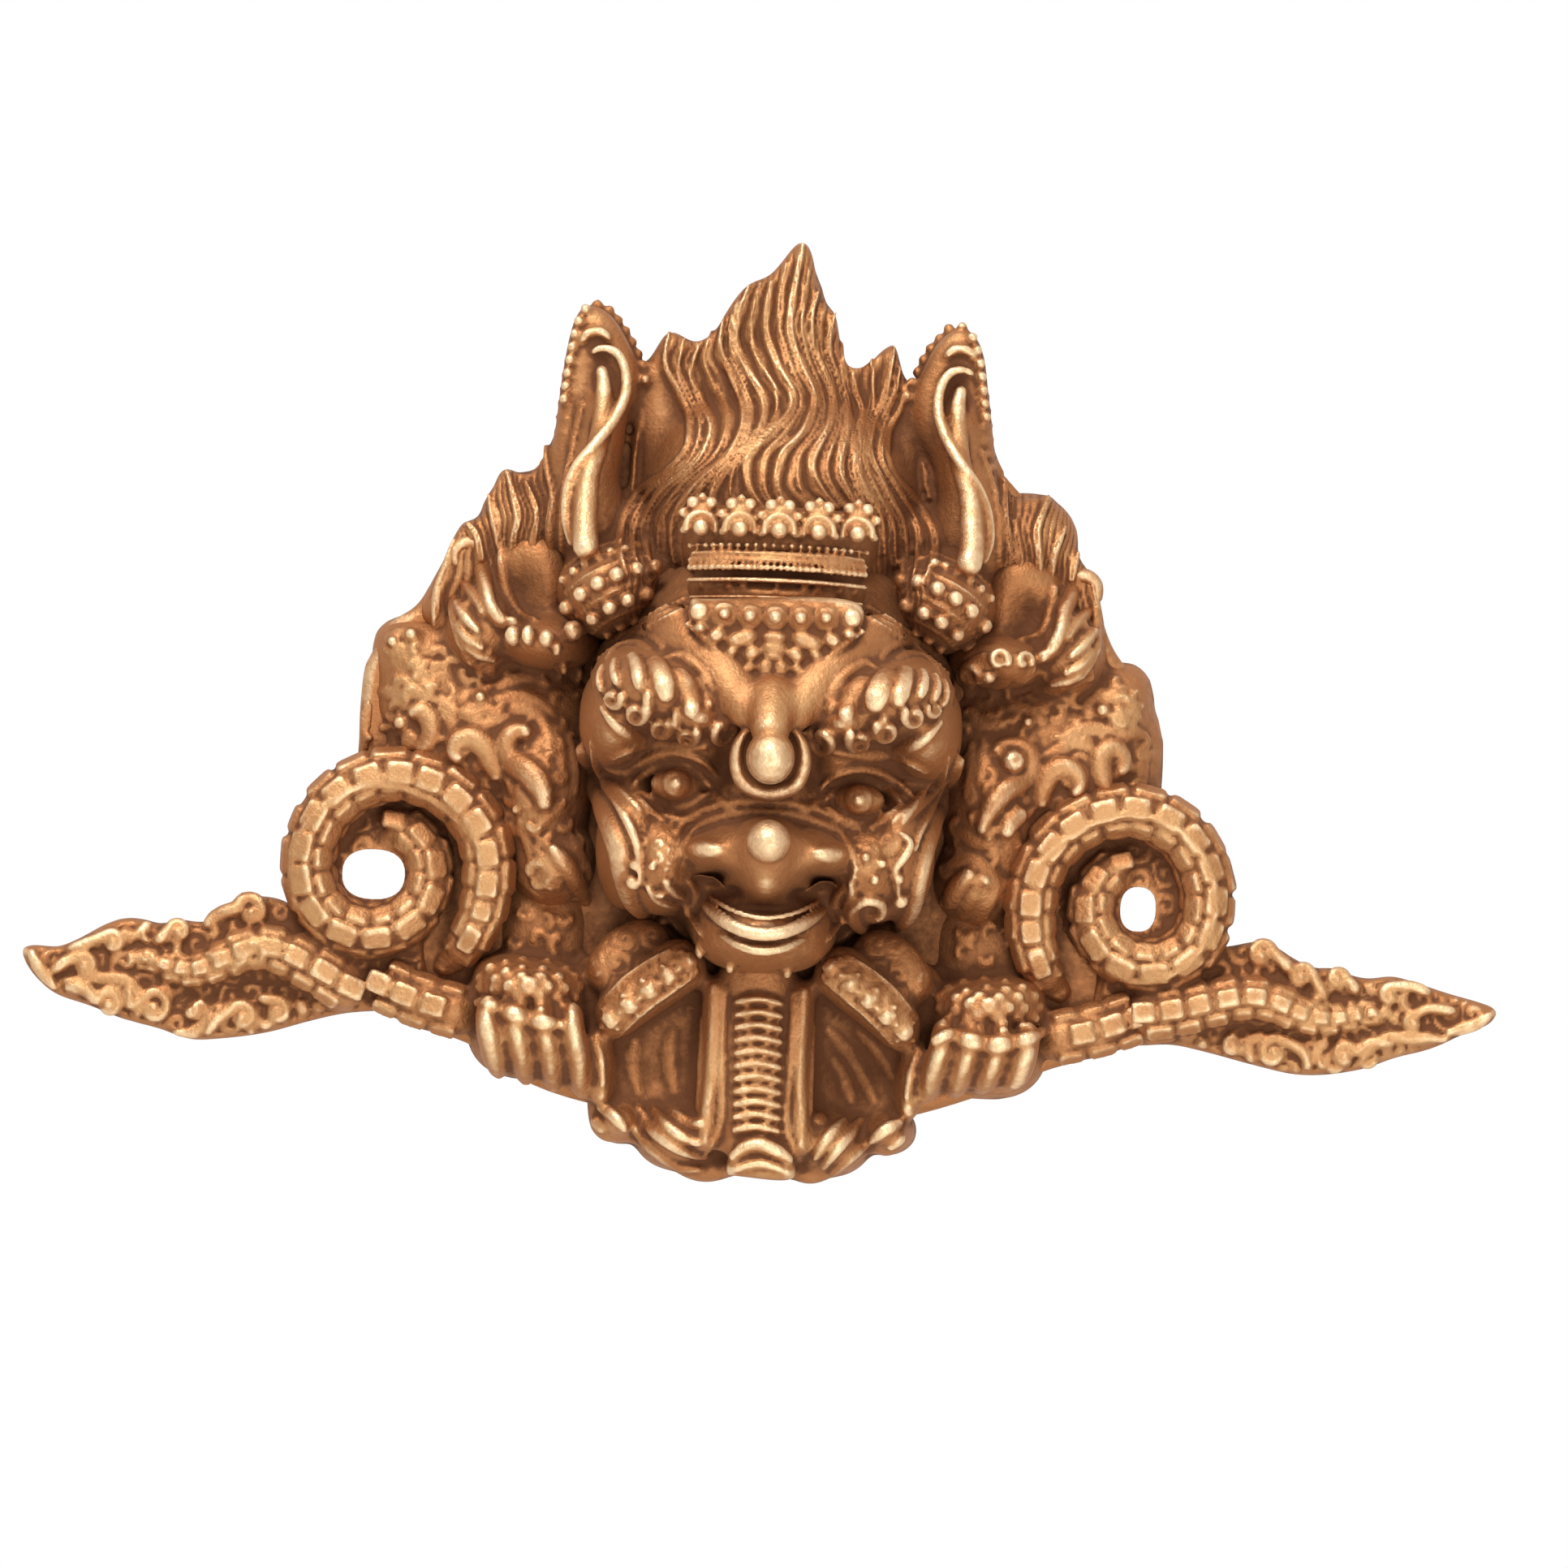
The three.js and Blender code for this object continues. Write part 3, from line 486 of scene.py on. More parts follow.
def brow_carving(face):
    """Tufts of the brows: streaks that swell into lobes and end in ringlets, with folds round them."""
    folds = {
        -1: (
            ((-29.8, -41), (-30.2, -36.8), (-27.9, -32.6), (-24, -31.0), (-20.2, -31.9), (-18.0, -34.0)),
            ((-18.6, -35.4), (-16.0, -34.6), (-12.6, -36.4), (-10.2, -39.6), (-9.2, -43)),
            ((-28.4, -36.4), (-26.2, -33.6), (-22.8, -32.8), (-20.4, -34.2)),
        ),
        1: (
            ((30, -41), (30.2, -36.4), (27, -32.0), (23, -30.6), (19.6, -31.6), (17.4, -34.2)),
            ((9.0, -43.4), (9.8, -39.8), (12.2, -36.6), (15.4, -34.6), (17.4, -35.4)),
            ((28.4, -36.4), (26, -33.4), (22.6, -32.6), (20, -34)),
        ),
    }
    lobes = {
        -1: (
            ((-24.0, -34.6), (-22.6, -37), (-21.8, -41), 1.35),
            ((-20.2, -35.0), (-18.6, -37.8), (-17.3, -42.6), 1.9),
            ((-16.4, -36.8), (-14.2, -39.8), (-12.9, -45.2), 1.8),
            ((-26.4, -35.4), (-26.2, -37.8), (-25.2, -40.4), 1.0),
            ((-28.2, -36.4), (-28.5, -39), (-27.8, -41.6), 0.85),
            ((-13.2, -38.2), (-11.6, -40.4), (-10.4, -43.8), 1.15),
            ((-20.6, -40.6), (-20.6, -42.6), (-19.8, -44.6), 0.9),
            ((-15.6, -43), (-15.6, -44.8), (-15, -46.8), 0.8),
        ),
        1: (
            ((15.8, -36.8), (13.6, -39.6), (12.2, -44.6), 1.85),
            ((19.6, -35.4), (18.2, -38), (16.8, -42.8), 2.2),
            ((22.4, -34.8), (21.8, -37.4), (20.8, -41.8), 1.7),
            ((24.8, -35), (25, -37.4), (24.2, -40.4), 1.2), ((26.8, -35.6), (27.2, -38), (26.4, -40.8), 1.0),
            ((28.4, -36.4), (28.7, -39), (28, -41.6), 0.8), ((12.6, -38), (10.8, -40.2), (9.8, -43.6), 1.15),
            ((18.8, -42.6), (18.8, -44.2), (18.4, -46), 0.8),
        ),
    }
    ringlets = {
        -1: ((-26.0, -42.2, 2.1), (-22.2, -44.0, 2.3), (-18.2, -46.0, 2.4), (-13.6, -47.4, 2.2),
             (-8.6, -46.4, 2.7)),
        1: ((5.6, -46.6, 1.6), (9.2, -47.0, 2.9), (14.6, -46.9, 2.4), (19.2, -45.0, 2.4), (23.4, -42.8, 2.2),
            (26.8, -41.8, 1.7)),
    }
    rolls = (((28.6, -43.4), (26, -46.6), (21.6, -48.8), (16, -49.8), (10, -49.6)),)
    for side in SIDES:
        for path in folds[side]:
            face.stroke(path, (0.4, 0.8, 0.8, 0.4), lift=-0.05)
        for path in rolls:
            face.stroke(flip(path, side), (0.5, 1.3, 1.3, 0.5), high=0.9, lift=-0.1, sides=10)
        for *path, size in lobes[side]:
            face.stroke(path, (0.7 * size, 0.95 * size, size, 0.6 * size), high=(0.5, 1.0, 1.3, 1.1),
                        lift=0.2, sides=10)
        for across, up, reach in ringlets[side]:
            face.bead(across, up, 0.85 * reach, 0.0, high=0.9)
            face.curl(across, up, reach, 0.4 * reach, start=90 + 40 * side, turns=1.1, hand=side, lift=1.1)
        rope = ((31.6, -35.4), (26.4, -31.2), (20.6, -27.8), (15.6, -25.0))
        for shift in (0, 1.5):
            face.beads([(side * across - side * 0.5 * shift, up - shift) for across, up in rope], 0.5, 1.0,
                       0.3)
        face.stroke([(side * (across - 0.4), up - 0.75) for across, up in rope], 0.35, lift=0.3)


def forehead_jewel(face):
    """Triangle of set stones that hangs from the crown."""
    face.plate(((-14.2, -25), (14.2, -25), (14.4, -28.6), (8, -34.4), (1.6, -40.8), (-1.6, -40.8),
                (-8, -34.4), (-14.4, -28.6)), 28, 41.2, soft=2.2)
    stones = [(4.25 * k, -27.7 + 0.05 * k * k, 2.05 if abs(k) < 3 else 1.5, 2.05 if abs(k) < 3 else 1.6, 0)
              for k in range(-3, 4)]
    pairs = ((5.4, -31.4, 2.7, 1.45, 20), (9.6, -31, 1.5, 1.2, 30), (3.6, -33.8, 1.5, 1.15, 35),
             (7.0, -33.6, 1.1, 0.9, 40), (1.3, -36.1, 1.2, 1.5, 0), (3.9, -36, 0.9, 0.8, 0),
             (12.4, -29.9, 0.9, 0.8, 0), (2.7, -38.2, 0.7, 0.8, 0))
    stones += [(side * across, up, wide, tall, -side * lean)
               for side in SIDES for across, up, wide, tall, lean in pairs]
    stones += [(0, -30.9, 2.0, 0.95, 0), (0, -32.6, 2.1, 0.85, 0), (0, -34.1, 1.7, 0.75, 0),
               (0, -38.4, 1.4, 1.4, 0)]
    for across, up, wide, tall, lean in stones:
        angle = math.radians(lean)
        axes = ((math.cos(angle), 0, math.sin(angle)), (-math.sin(angle), 0, math.cos(angle)), (0, -1, 0))
        face.pillow(at(across, up, 41.4 - 0.035 * abs(across)), (1.05 * wide, 1.05 * tall, 1.2), axes,
                    power=2.3, sides=12)
    for k in range(-2, 3):
        face.ball(4.25 * k, -27.6 + 0.05 * k * k, 42.6, 0.9, 0.9, 0.8, sides=12, rows=6)
    for side in SIDES:
        border = ((side * 14.6, -29.4, 40.2), (side * 10.2, -33.0, 41.0), (side * 5.9, -37.0, 42.0),
                  (side * 2.2, -41.0, 43.2))
        for place in smooth_path(border, 1.2):
            face.ball(*place, 0.55, 0.55, 0.7, sides=8, rows=4)
    face.ball(0, -41.6, 43.4, 1.7, 1.7, 1.1, sides=14, rows=6)
    face.ball(0, -41.6, 44.3, 0.9, 0.9, 0.8, sides=12, rows=5)


def eyes(face):
    """Balls and pupils between lids, the right one lower, with wrinkles round them."""
    for side in SIDES:
        x, low = side * 15.3, 1.6 if side > 0 else 0.2
        face.ball(x, -56.0 - low, 31.0, 4.4, 2.8, 3.6)
        face.ball(x, -55.8 - low, 33.6, 2.6, 2.5, 2.2)
        face.ball(x, -55.9 - low, 35.4, 1.0, 1.0, 1.1, sides=16, rows=8)
        upper = ((22.6, -56.6), (20.4, -54.2), (17.6, -52.6), (14.6, -52.2), (11.8, -53.6), (9.4, -56.4))
        fold = ((24.2, -55), (21.4, -52.6), (17.8, -50.8), (14.2, -50.6), (10.8, -52.0), (8.6, -54.4))
        lower = ((22, -57.4), (19.2, -58.9), (15.6, -59.9), (12.2, -59.1), (9.8, -57.2))
        for path, size in ((upper, 1.15), (fold, 0.8), (lower, 0.95)):
            face.stroke([(side * across, up - low) for across, up in path], (0.4, size, size, 0.4), lift=0.45,
                        sides=10)
        lids = (
            ((26.8, -52.6), (23, -50.4), (18.4, -49.4)), ((27.6, -54), (24.4, -54.4), (21.6, -54.8)),
            ((30, -49), (28.8, -54), (25.6, -58), (22.4, -61.6)), ((27, -56), (24, -58.2), (20.8, -61.4)),
            ((22.6, -57.6), (20, -60.6), (17, -62.6)), ((18.4, -61.2), (14, -62.2), (10.4, -60.4)),
            ((8.6, -57.6), (6.8, -59.4), (4.4, -60)),
        )
        for path in lids:
            face.stroke(flip(path, side), (0.35, 0.8, 0.8, 0.35), lift=0.15)


def nose_and_mouth(face):
    """Drop in its cup above the nose, tip and wings of the nose, lips and beard."""
    face.ball(0.2, -51.0, 48.6, 4.1, 4.6, 4.4)
    hood = ((-3.4, -46.2), (-4.9, -48.8), (-5.2, -52.2), (-3.9, -55.4), (0.2, -57), (4.3, -55.4),
            (5.6, -52.2), (5.3, -48.8), (3.8, -46.2))
    face.stroke([(1.04 * across, up, 43.6 - 0.2 * abs(up + 49)) for across, up in hood],
                (0.6, 1.1, 1.3, 1.4, 1.5, 1.4, 1.3, 1.1, 0.6), high=2.0, sides=14)
    face.ball(0.5, -65, 47.2, 3.7, 3.7, 4.2)
    rim = ((-13.9, -66.8), (-11.4, -63.2), (-6, -61), (0.2, -60.3), (6.6, -61.0), (12.2, -63.2),
           (15.2, -68.4), (14.9, -71.6))
    face.stroke(rim, (0.4, 0.7, 0.75, 0.75, 0.7, 0.5), lift=0.15)
    face.stroke([(across * 1.1, up + 1.9) for across, up in rim[:-2]], (0.4, 0.6, 0.6, 0.4), lift=0.2)
    fold = ((13.6, -71.6), (11.6, -74.4), (12.0, -77.6), (10.2, -81.6))
    for side in SIDES:
        face.stroke([(0.5 + side * across, up) for across, up in fold], (0.4, 0.9, 0.9, 0.4), lift=0.3)
    for up, dip, half, size, out in ((-74.6, 3.2, 9.2, 0.5, 41.0), (-76.2, 4.3, 9.9, 1.25, 40.5),
                                     (-79.4, 4.0, 8.6, 0.8, 39.4)):
        lip = [(0.2 + share * half, up - dip * (1 - share ** 2), out - 3 * share ** 2 - 10.5 * share ** 4)
               for share in np.linspace(-1, 1, 13)]
        face.stroke(lip, (0.6 * size, 0.95 * size, size, 0.95 * size, 0.6 * size), high=0.85 * size, sides=12)
    for across, up, tall in ((-12.6, -76, 2.6), (13.4, -76.2, 2.6), (11.2, -84.6, 2.4), (-10.2, -83.4, 2.0),
                             (-5, -86, 1.6), (4.6, -86.4, 1.6)):
        out, _ = face.surface(across, up)
        face.ball(across, up, out + 0.6, 0.9, tall, 1.4, sides=12, rows=7)


def cheeks(face):
    """Flames of hair that run down beside the eyes and hook in below the nose."""
    left = ((-31.4, -50), (-29.6, -56), (-27, -61.6), (-24.6, -67), (-23.4, -72), (-22, -76), (-19, -78.6),
            (-15.6, -79))
    right = ((31.4, -49), (30, -55), (27.8, -61), (26.4, -66), (25.6, -71), (24.8, -75.6), (22.2, -78.8),
             (18.6, -79.6), (15.8, -77.8), (15.4, -75.2), (17.2, -73.8), (19.4, -74.2), (19.8, -75.8),
             (18.6, -76.6))
    face.stroke(left, (1.1, 2.0, 2.3, 2.3, 2.2, 1.9, 1.6, 0.7), high=1.5, lift=0.2, sides=12)
    face.stroke(right, (1.1, 2.0, 2.3, 2.3, 2.1, 1.9, 1.7, 1.5, 1.3, 1.2, 1.2, 1.1, 1.0, 0.8), high=1.5,
                lift=0.3, sides=12)
    inner = {
        -1: (
            ((-27.8, -56.4), (-24.2, -61.0), (-21.8, -65.6), (-20.6, -70), (-20.2, -73.4)),
            ((-19.6, -72.6), (-17.6, -75.4), (-14.6, -76.4)), ((-17, -71.6), (-15.2, -74), (-13, -75)),
        ),
        1: (
            ((29.6, -53), (27.4, -58), (25.4, -62.6), (24.6, -66)),
            ((22.2, -62.6), (24, -64.2), (23.2, -66.6), (21.8, -68.6), (22.2, -71), (22.6, -73.4)),
            ((26.6, -54), (24.4, -58), (22.6, -61)), ((14.6, -70.4), (15, -73), (13.6, -77)),
        ),
    }
    for side in SIDES:
        for path in inner[side]:
            face.stroke(path, (0.4, 0.9, 0.9, 0.4), high=0.9, lift=0.25)
    for across, up, radius in ((-21.3, -69.8, 1.1), (-21.4, -72.4, 1.5), (-17.2, -74.4, 0.9),
                               (-18.6, -70, 0.8), (-16.2, -72.4, 0.7), (22.9, -73.6, 1.4), (22.4, -70.2, 1.0),
                               (18.4, -70.6, 0.9), (19.4, -68, 0.8), (16.8, -67, 0.8)):
        face.bead(across, up, radius, 0.6)


def worked_flesh(points):
    """Where the face is worked all over: beside the nose, between brows and eyes, and round the chin."""
    share = np.zeros(len(points))
    for across, up, wide, tall in ((17, -66, 6, 9), (9, -58, 6, 3), (10, -83, 8, 6)):
        away = ((abs(points[:, 0]) - across) / wide) ** 2 + ((points[:, 2] - up) / tall) ** 2
        share = np.maximum(share, np.exp(-away ** 2))
    return share


def make_face(sizes):
    """Head with brows, forehead jewel, eyes, nose, mouth and cheeks."""
    face = Carving(ground=5)
    face_forms(face)
    brow_carving(face)
    forehead_jewel(face)
    eyes(face)
    nose_and_mouth(face)
    cheeks(face)

    def skin(points):
        for side in SIDES:
            dent(points, 0.6 + side * 8.6, -71, 3.4, 1.8, 7.5, least_out=30)
        return scrolls(points, face.bare(points) * worked_flesh(points), cell=2.8, pitch=1.7, depth=0.22)

    cast("face", face, sizes.grain, cutters=(hollow_cutter(),), shape=skin)


# Hair, horns and their collars

FLAMES = ((-26, -12), (-25.4, 2), (-24.8, 9), (-24.4, 13.4), (-22.6, 16.6), (-20.8, 19.8), (-19.7, 20.7),
          (-18.4, 20), (-17, 19.1), (-15, 18.8), (-12.6, 20.4), (-10.6, 24), (-8.6, 27.2), (-6.4, 29.4),
          (-4, 30.1), (-1.8, 32.6), (0.4, 35.6), (1.9, 36.9), (3.2, 35.2), (4.2, 31.6), (4.9, 27.4),
          (5.3, 25.5), (6.5, 25.6), (7.6, 25.2), (8.4, 22.4), (9.2, 18.4), (10, 15.7), (11.6, 15.3),
          (13.4, 15.7), (15.4, 18), (17.2, 19.6), (18.1, 20), (19, 17.4), (20, 14.2), (21, 12.8), (23, 4),
          (25, -12), (0, -18))
SIDE_FLAMES = {
    -1: ((-39.4, 0.6), (-40.6, -2), (-41.6, -4.4), (-43, -5.3), (-44.8, -4.9), (-46.6, -3.5), (-47.8, -4.8),
         (-49, -8.2), (-50.2, -11.8), (-51.6, -13.2), (-53, -12.9), (-54.6, -15), (-56.6, -20), (-59, -25),
         (-60, -30), (-45, -34), (-34, -24), (-36, -8)),
    1: ((36.2, 2), (37.4, -1.4), (38.4, -3.6), (38.9, -7.4), (40.2, -8.3), (42.2, -7.9), (44, -5.6),
        (45.5, -4), (46.6, -6.8), (48.6, -9.6), (50.2, -13), (51.6, -16), (53.6, -18), (54.8, -22),
        (55.4, -30), (45, -34), (34, -24), (35, -8)),
}
FLAME_GUIDES = (
    ((-25.4, -22), (-27, -15), (-24.4, -8), (-18.4, -3), (-15.4, 2), (-16.8, 8), (-20.4, 14), (-19.9, 20)),
    ((-21, -22), (-22.8, -14), (-20.6, -8), (-14, -1.6), (-12, 3.4), (-14.6, 9.6), (-16.4, 15), (-15, 18.2)),
    ((-17, -19), (-17.8, -12), (-14.6, -6.4), (-9, -0.6), (-6.6, 4.6), (-7.6, 10.6), (-11.2, 17),
     (-10.6, 23)),
    ((-10, -12), (-11.4, -7), (-8.6, -2), (-4.2, 3), (-3.4, 8.6), (-6.4, 14), (-9, 20), (-6.6, 28.6)),
    ((-2.4, -10), (-5, -6.4), (-6.2, -2.4), (-2.6, 3), (1.6, 8.6), (-1.4, 15), (-3.8, 22), (-3, 29.6)),
    ((1.4, -10), (-0.6, -6), (-0.4, -1), (3.4, 4), (4.9, 9.4), (2.8, 14.4), (0.4, 21), (1.8, 36)),
    ((9.6, -9), (6.2, -5), (4.8, -0.6), (7.4, 4.6), (8, 9.6), (5.8, 15), (3.6, 21), (4.4, 28)),
    ((14, -10), (11.2, -6), (9.4, -1.4), (10.4, 4), (10, 9.4), (8.4, 14), (6.9, 18), (7.4, 24.6)),
    ((17.6, -16), (16.4, -9), (13, -3.6), (12.2, 2.6), (13, 8), (11.8, 11.6), (11.2, 15)),
    ((21.4, -20), (20.8, -12), (17.4, -5), (14.4, 0.6), (15, 6), (17, 12), (17.8, 19.2)),
    ((25, -21), (26.4, -13), (22.8, -7), (18, -1.4), (17.4, 4), (19.6, 9), (20.2, 13)),
)
SIDE_GUIDES = {
    -1: (
        ((-37.6, -22), (-38.6, -14), (-38.2, -8), (-39.6, -3), (-39.6, 0)),
        ((-40.6, -23), (-41.6, -17), (-41, -12), (-43.4, -6)),
        ((-43.4, -23), (-44.8, -17), (-44.2, -12), (-46.5, -4.4)), ((-46, -20), (-47.6, -15), (-49, -8.6)),
        ((-50, -20), (-51, -16), (-52.8, -13.6)), ((-57.4, -32), (-57.4, -26), (-56, -21), (-54.6, -16.4)),
    ),
    1: (
        ((38.2, -22), (38.8, -15), (37.6, -8), (37.4, -2)), ((40.8, -23), (41, -17), (39.6, -9)),
        ((43.4, -23), (44, -16), (43.4, -11), (45.3, -4.8)), ((45.8, -20), (46.6, -14), (48, -9.8)),
        ((49.6, -19), (50, -16), (50.4, -14)), ((54.2, -30), (54.2, -24), (53, -19)),
    ),
}
HOODS = {
    -1: ((-35, -18), (-38, -10), (-39.4, -3), (-38.6, 3), (-38.2, 8), (-37.7, 13), (-37, 18), (-36, 22),
         (-34.4, 24.2), (-32.2, 23.9), (-29.6, 22.2), (-27.4, 19), (-25.6, 15.6), (-24.8, 12.6), (-25.4, 9),
         (-26.6, 5), (-28, 0), (-30, -8), (-30.6, -16)),
    1: ((34, -17), (37.2, -12), (36.8, -5), (35.8, 2), (35, 8), (34.2, 13), (33.4, 18), (32, 21.4),
        (30.4, 22.8), (28.6, 23), (26.6, 21.6), (24.8, 19.4), (23, 15.4), (21.6, 11.6), (21.8, 8), (23.6, 3),
        (26.4, -3), (29.4, -10), (30.6, -16)),
}
HORNS = {
    -1: ((-32, -19, 24), (-32.5, -15.5, 23), (-32.7, -10.8, 21), (-32.5, -5.2, 18.6), (-31.2, 0.4, 16),
         (-30.6, 6, 14), (-30.7, 10.7, 13), (-31.3, 14, 12.2)),
    1: ((31.6, -19, 24), (32.4, -15.5, 23), (32.4, -11, 21), (31.8, -5.6, 18.6), (30.1, -0.2, 16),
        (29.4, 5.4, 14), (29.3, 10, 13), (29.8, 13.2, 12.2)),
}
STRIPES = {
    -1: ((-34.6, -17, 22), (-35.8, -12.7, 20.6), (-35.8, -8, 19.4), (-34.6, -3.8, 18.4), (-31.6, 0.4, 17.4),
         (-28.4, 5.5, 15.2), (-26.9, 9.7, 13.8), (-27.4, 13.9, 13), (-29, 16.3, 12.6), (-31.5, 16.8, 12.4),
         (-33.2, 15.8, 12)),
    1: ((34.4, -17, 22), (35.4, -13.2, 20.6), (34.9, -8.8, 19.4), (33.2, -4.6, 18.4), (30.2, -0.4, 17.4),
        (27.2, 4.8, 15.2), (25.9, 9, 13.8), (26.3, 13, 13), (28, 15.4, 12.6), (30.3, 15.7, 12.4),
        (31.8, 14.8, 12)),
}
CORDS = {
    -1: ((-36.6, -17.5), (-36.9, -11), (-36.4, -5), (-35.8, -2), (-35, 3), (-34.2, 7)),
    1: ((37.4, -17), (37.2, -12), (36.8, -8), (35.6, -3), (33.6, 2)),
}


def spread(path, count):
    """A smooth path through the given points, as a number of points."""
    path = smooth_path(path, 0.5)
    places = np.linspace(0, len(path) - 1, count)
    return np.stack([np.interp(places, np.arange(len(path)), column) for column in path.T], axis=1)


def between(guides, count, parts=10):
    """Paths spread between neighbouring guide paths."""
    guides = [spread(guide, parts) for guide in guides]
    runs = [first + (second - first) * k / count for first, second in zip(guides, guides[1:])
            for k in range(count)]
    return runs + [guides[-1]]


def comb(carving, guides, count, wide, chance, high=None, lift=0.15):
    """Strands of hair between guides, of slightly uneven thickness and height."""
    for k, run in enumerate(between(guides, count)):
        size = wide * (1.3 if k % count == 0 else chance.uniform(0.75, 1.15))
        rise = lift + (0.3 if k % count == 0 else chance.uniform(-0.3, 0.3))
        carving.stroke(run, (0.6 * size, size, size, 0.85 * size, 0.4 * size), high or 1.15 * size, lift=rise,
                       blunt=False, sides=6)


def collar(carving, side, across, up):
    """Bracelet of three rows of beads between ropes, on the root of a horn."""
    angle = math.radians(side * -27)
    along = np.array((math.cos(angle), math.sin(angle)))
    above = np.array((-math.sin(angle), math.cos(angle)))
    for height, half, radius, pitch in ((6.6, 5.6, 0.5, 0.95), (4.9, 6.6, 0.95, 2.2), (3.1, 7.4, 0.42, 0.8),
                                        (1.0, 7.8, 1.45, 3.2), (-1.2, 8.0, 0.42, 0.8), (-3.2, 7.6, 1.4, 3.1),
                                        (-5.2, 6.8, 0.42, 0.8), (-6.8, 6.0, 1.0, 2.3)):
        path = [np.array((across, up)) + along * half * share + above * (height - 0.022 * (half * share) ** 2)
                for share in np.linspace(-1, 1, 5)]
        carving.beads(path, radius, pitch, 0.45 if radius > 0.6 else 0.3)


def make_hair(sizes):
    """Flame hair, and the horns with their hoods and collars."""
    chance = np.random.default_rng(7)
    hair = Carving(ground=5)
    hair.plate(FLAMES, 0, 8.5, soft=2.2)
    hair.dome(-0.5, -10, 25, 22, 25, power=2.3)
    hair.dome(-1, 6, 13, 18, 15)
    hair.dome(1, 20, 6, 14, 11)
    for side in SIDES:
        hair.plate(SIDE_FLAMES[side], 0, 7, soft=2.0)
        hair.dome(side * 42, -13, 9, 9, 10.5)
        hair.plate(HOODS[side], 0, 11, soft=2.6)
        hair.stroke([(x, z, 9) for x, z, _ in HORNS[side][:7]], (8, 7.4, 6.4, 5.2, 4.4, 4, 3), high=5.6,
                    sides=12)
        hair.dome(side * 28, -23.6, 9.4, 8.4, 28, low=6, power=2.2, lean=-27 * side)
        hair.dome(side * 24.5, -12.6, 5, 6, 13)

    def recesses(points):
        for side in SIDES:
            dent(points, side * 24.6, -3, 3.4, 10, 2.4, 8)
        return points

    hair.settle(grain=0.9, passes=6, shape=recesses)
    comb(hair, FLAME_GUIDES, 2, 0.7, chance, high=0.8, lift=0.1)
    for side in SIDES:
        comb(hair, SIDE_GUIDES[side], 1, 0.7, chance, high=0.8, lift=0.1)
    hair.settle()
    for side in SIDES:
        hair.stroke(HORNS[side], (2.3, 2.2, 2.1, 1.9, 1.8, 1.7, 1.5, 0.9), sides=14)
        hair.stroke(STRIPES[side], (0.7, 0.9, 1.0, 1.05, 1.1, 1.1, 1.05, 1.0, 0.9, 0.8, 0.5), sides=12)
        hair.beads(CORDS[side], 0.5, 0.95, 0.5)
        collar(hair, side, side * 28, -23.2)
        rim = HOODS[side][4:14]
        inset = [(x - side * 0.9, z - 0.6) if k > 5 else (x - side * 1.1, z) for k, (x, z) in enumerate(rim)]
        hair.beads(inset, 1.0, 2.2, 0.25, high=1.2)
        for k in range(6):
            up = 2.6 + 2.4 * k - (side > 0) * 3
            edge = np.interp(up, [z for _, z in HOODS[side][2:9]], [x for x, _ in HOODS[side][2:9]])
            hair.stroke(((edge + side * 0.2, up), (edge - side * 2.4, up - 0.4)), 0.42, lift=0.2)
        top = {
            -1: ((-34.9, 17.4), (-33.8, 19.2), (-31.6, 19.6), (-29.8, 18.2)),
            1: ((31.8, 17.6), (30.6, 19), (28.4, 19.2), (26.6, 17.8)),
        }
        hair.stroke(top[side], (0.5, 0.9, 0.9, 0.5), lift=0.4)

    def skin(points):
        bare = hair.bare(points)
        strands(points, FLAME_GUIDES, bare)
        for side in SIDES:
            strands(points, SIDE_GUIDES[side], bare)
        return points

    cast("hair_and_horns", hair, sizes.grain, cutters=(hollow_cutter(),), shape=skin)


# Crown

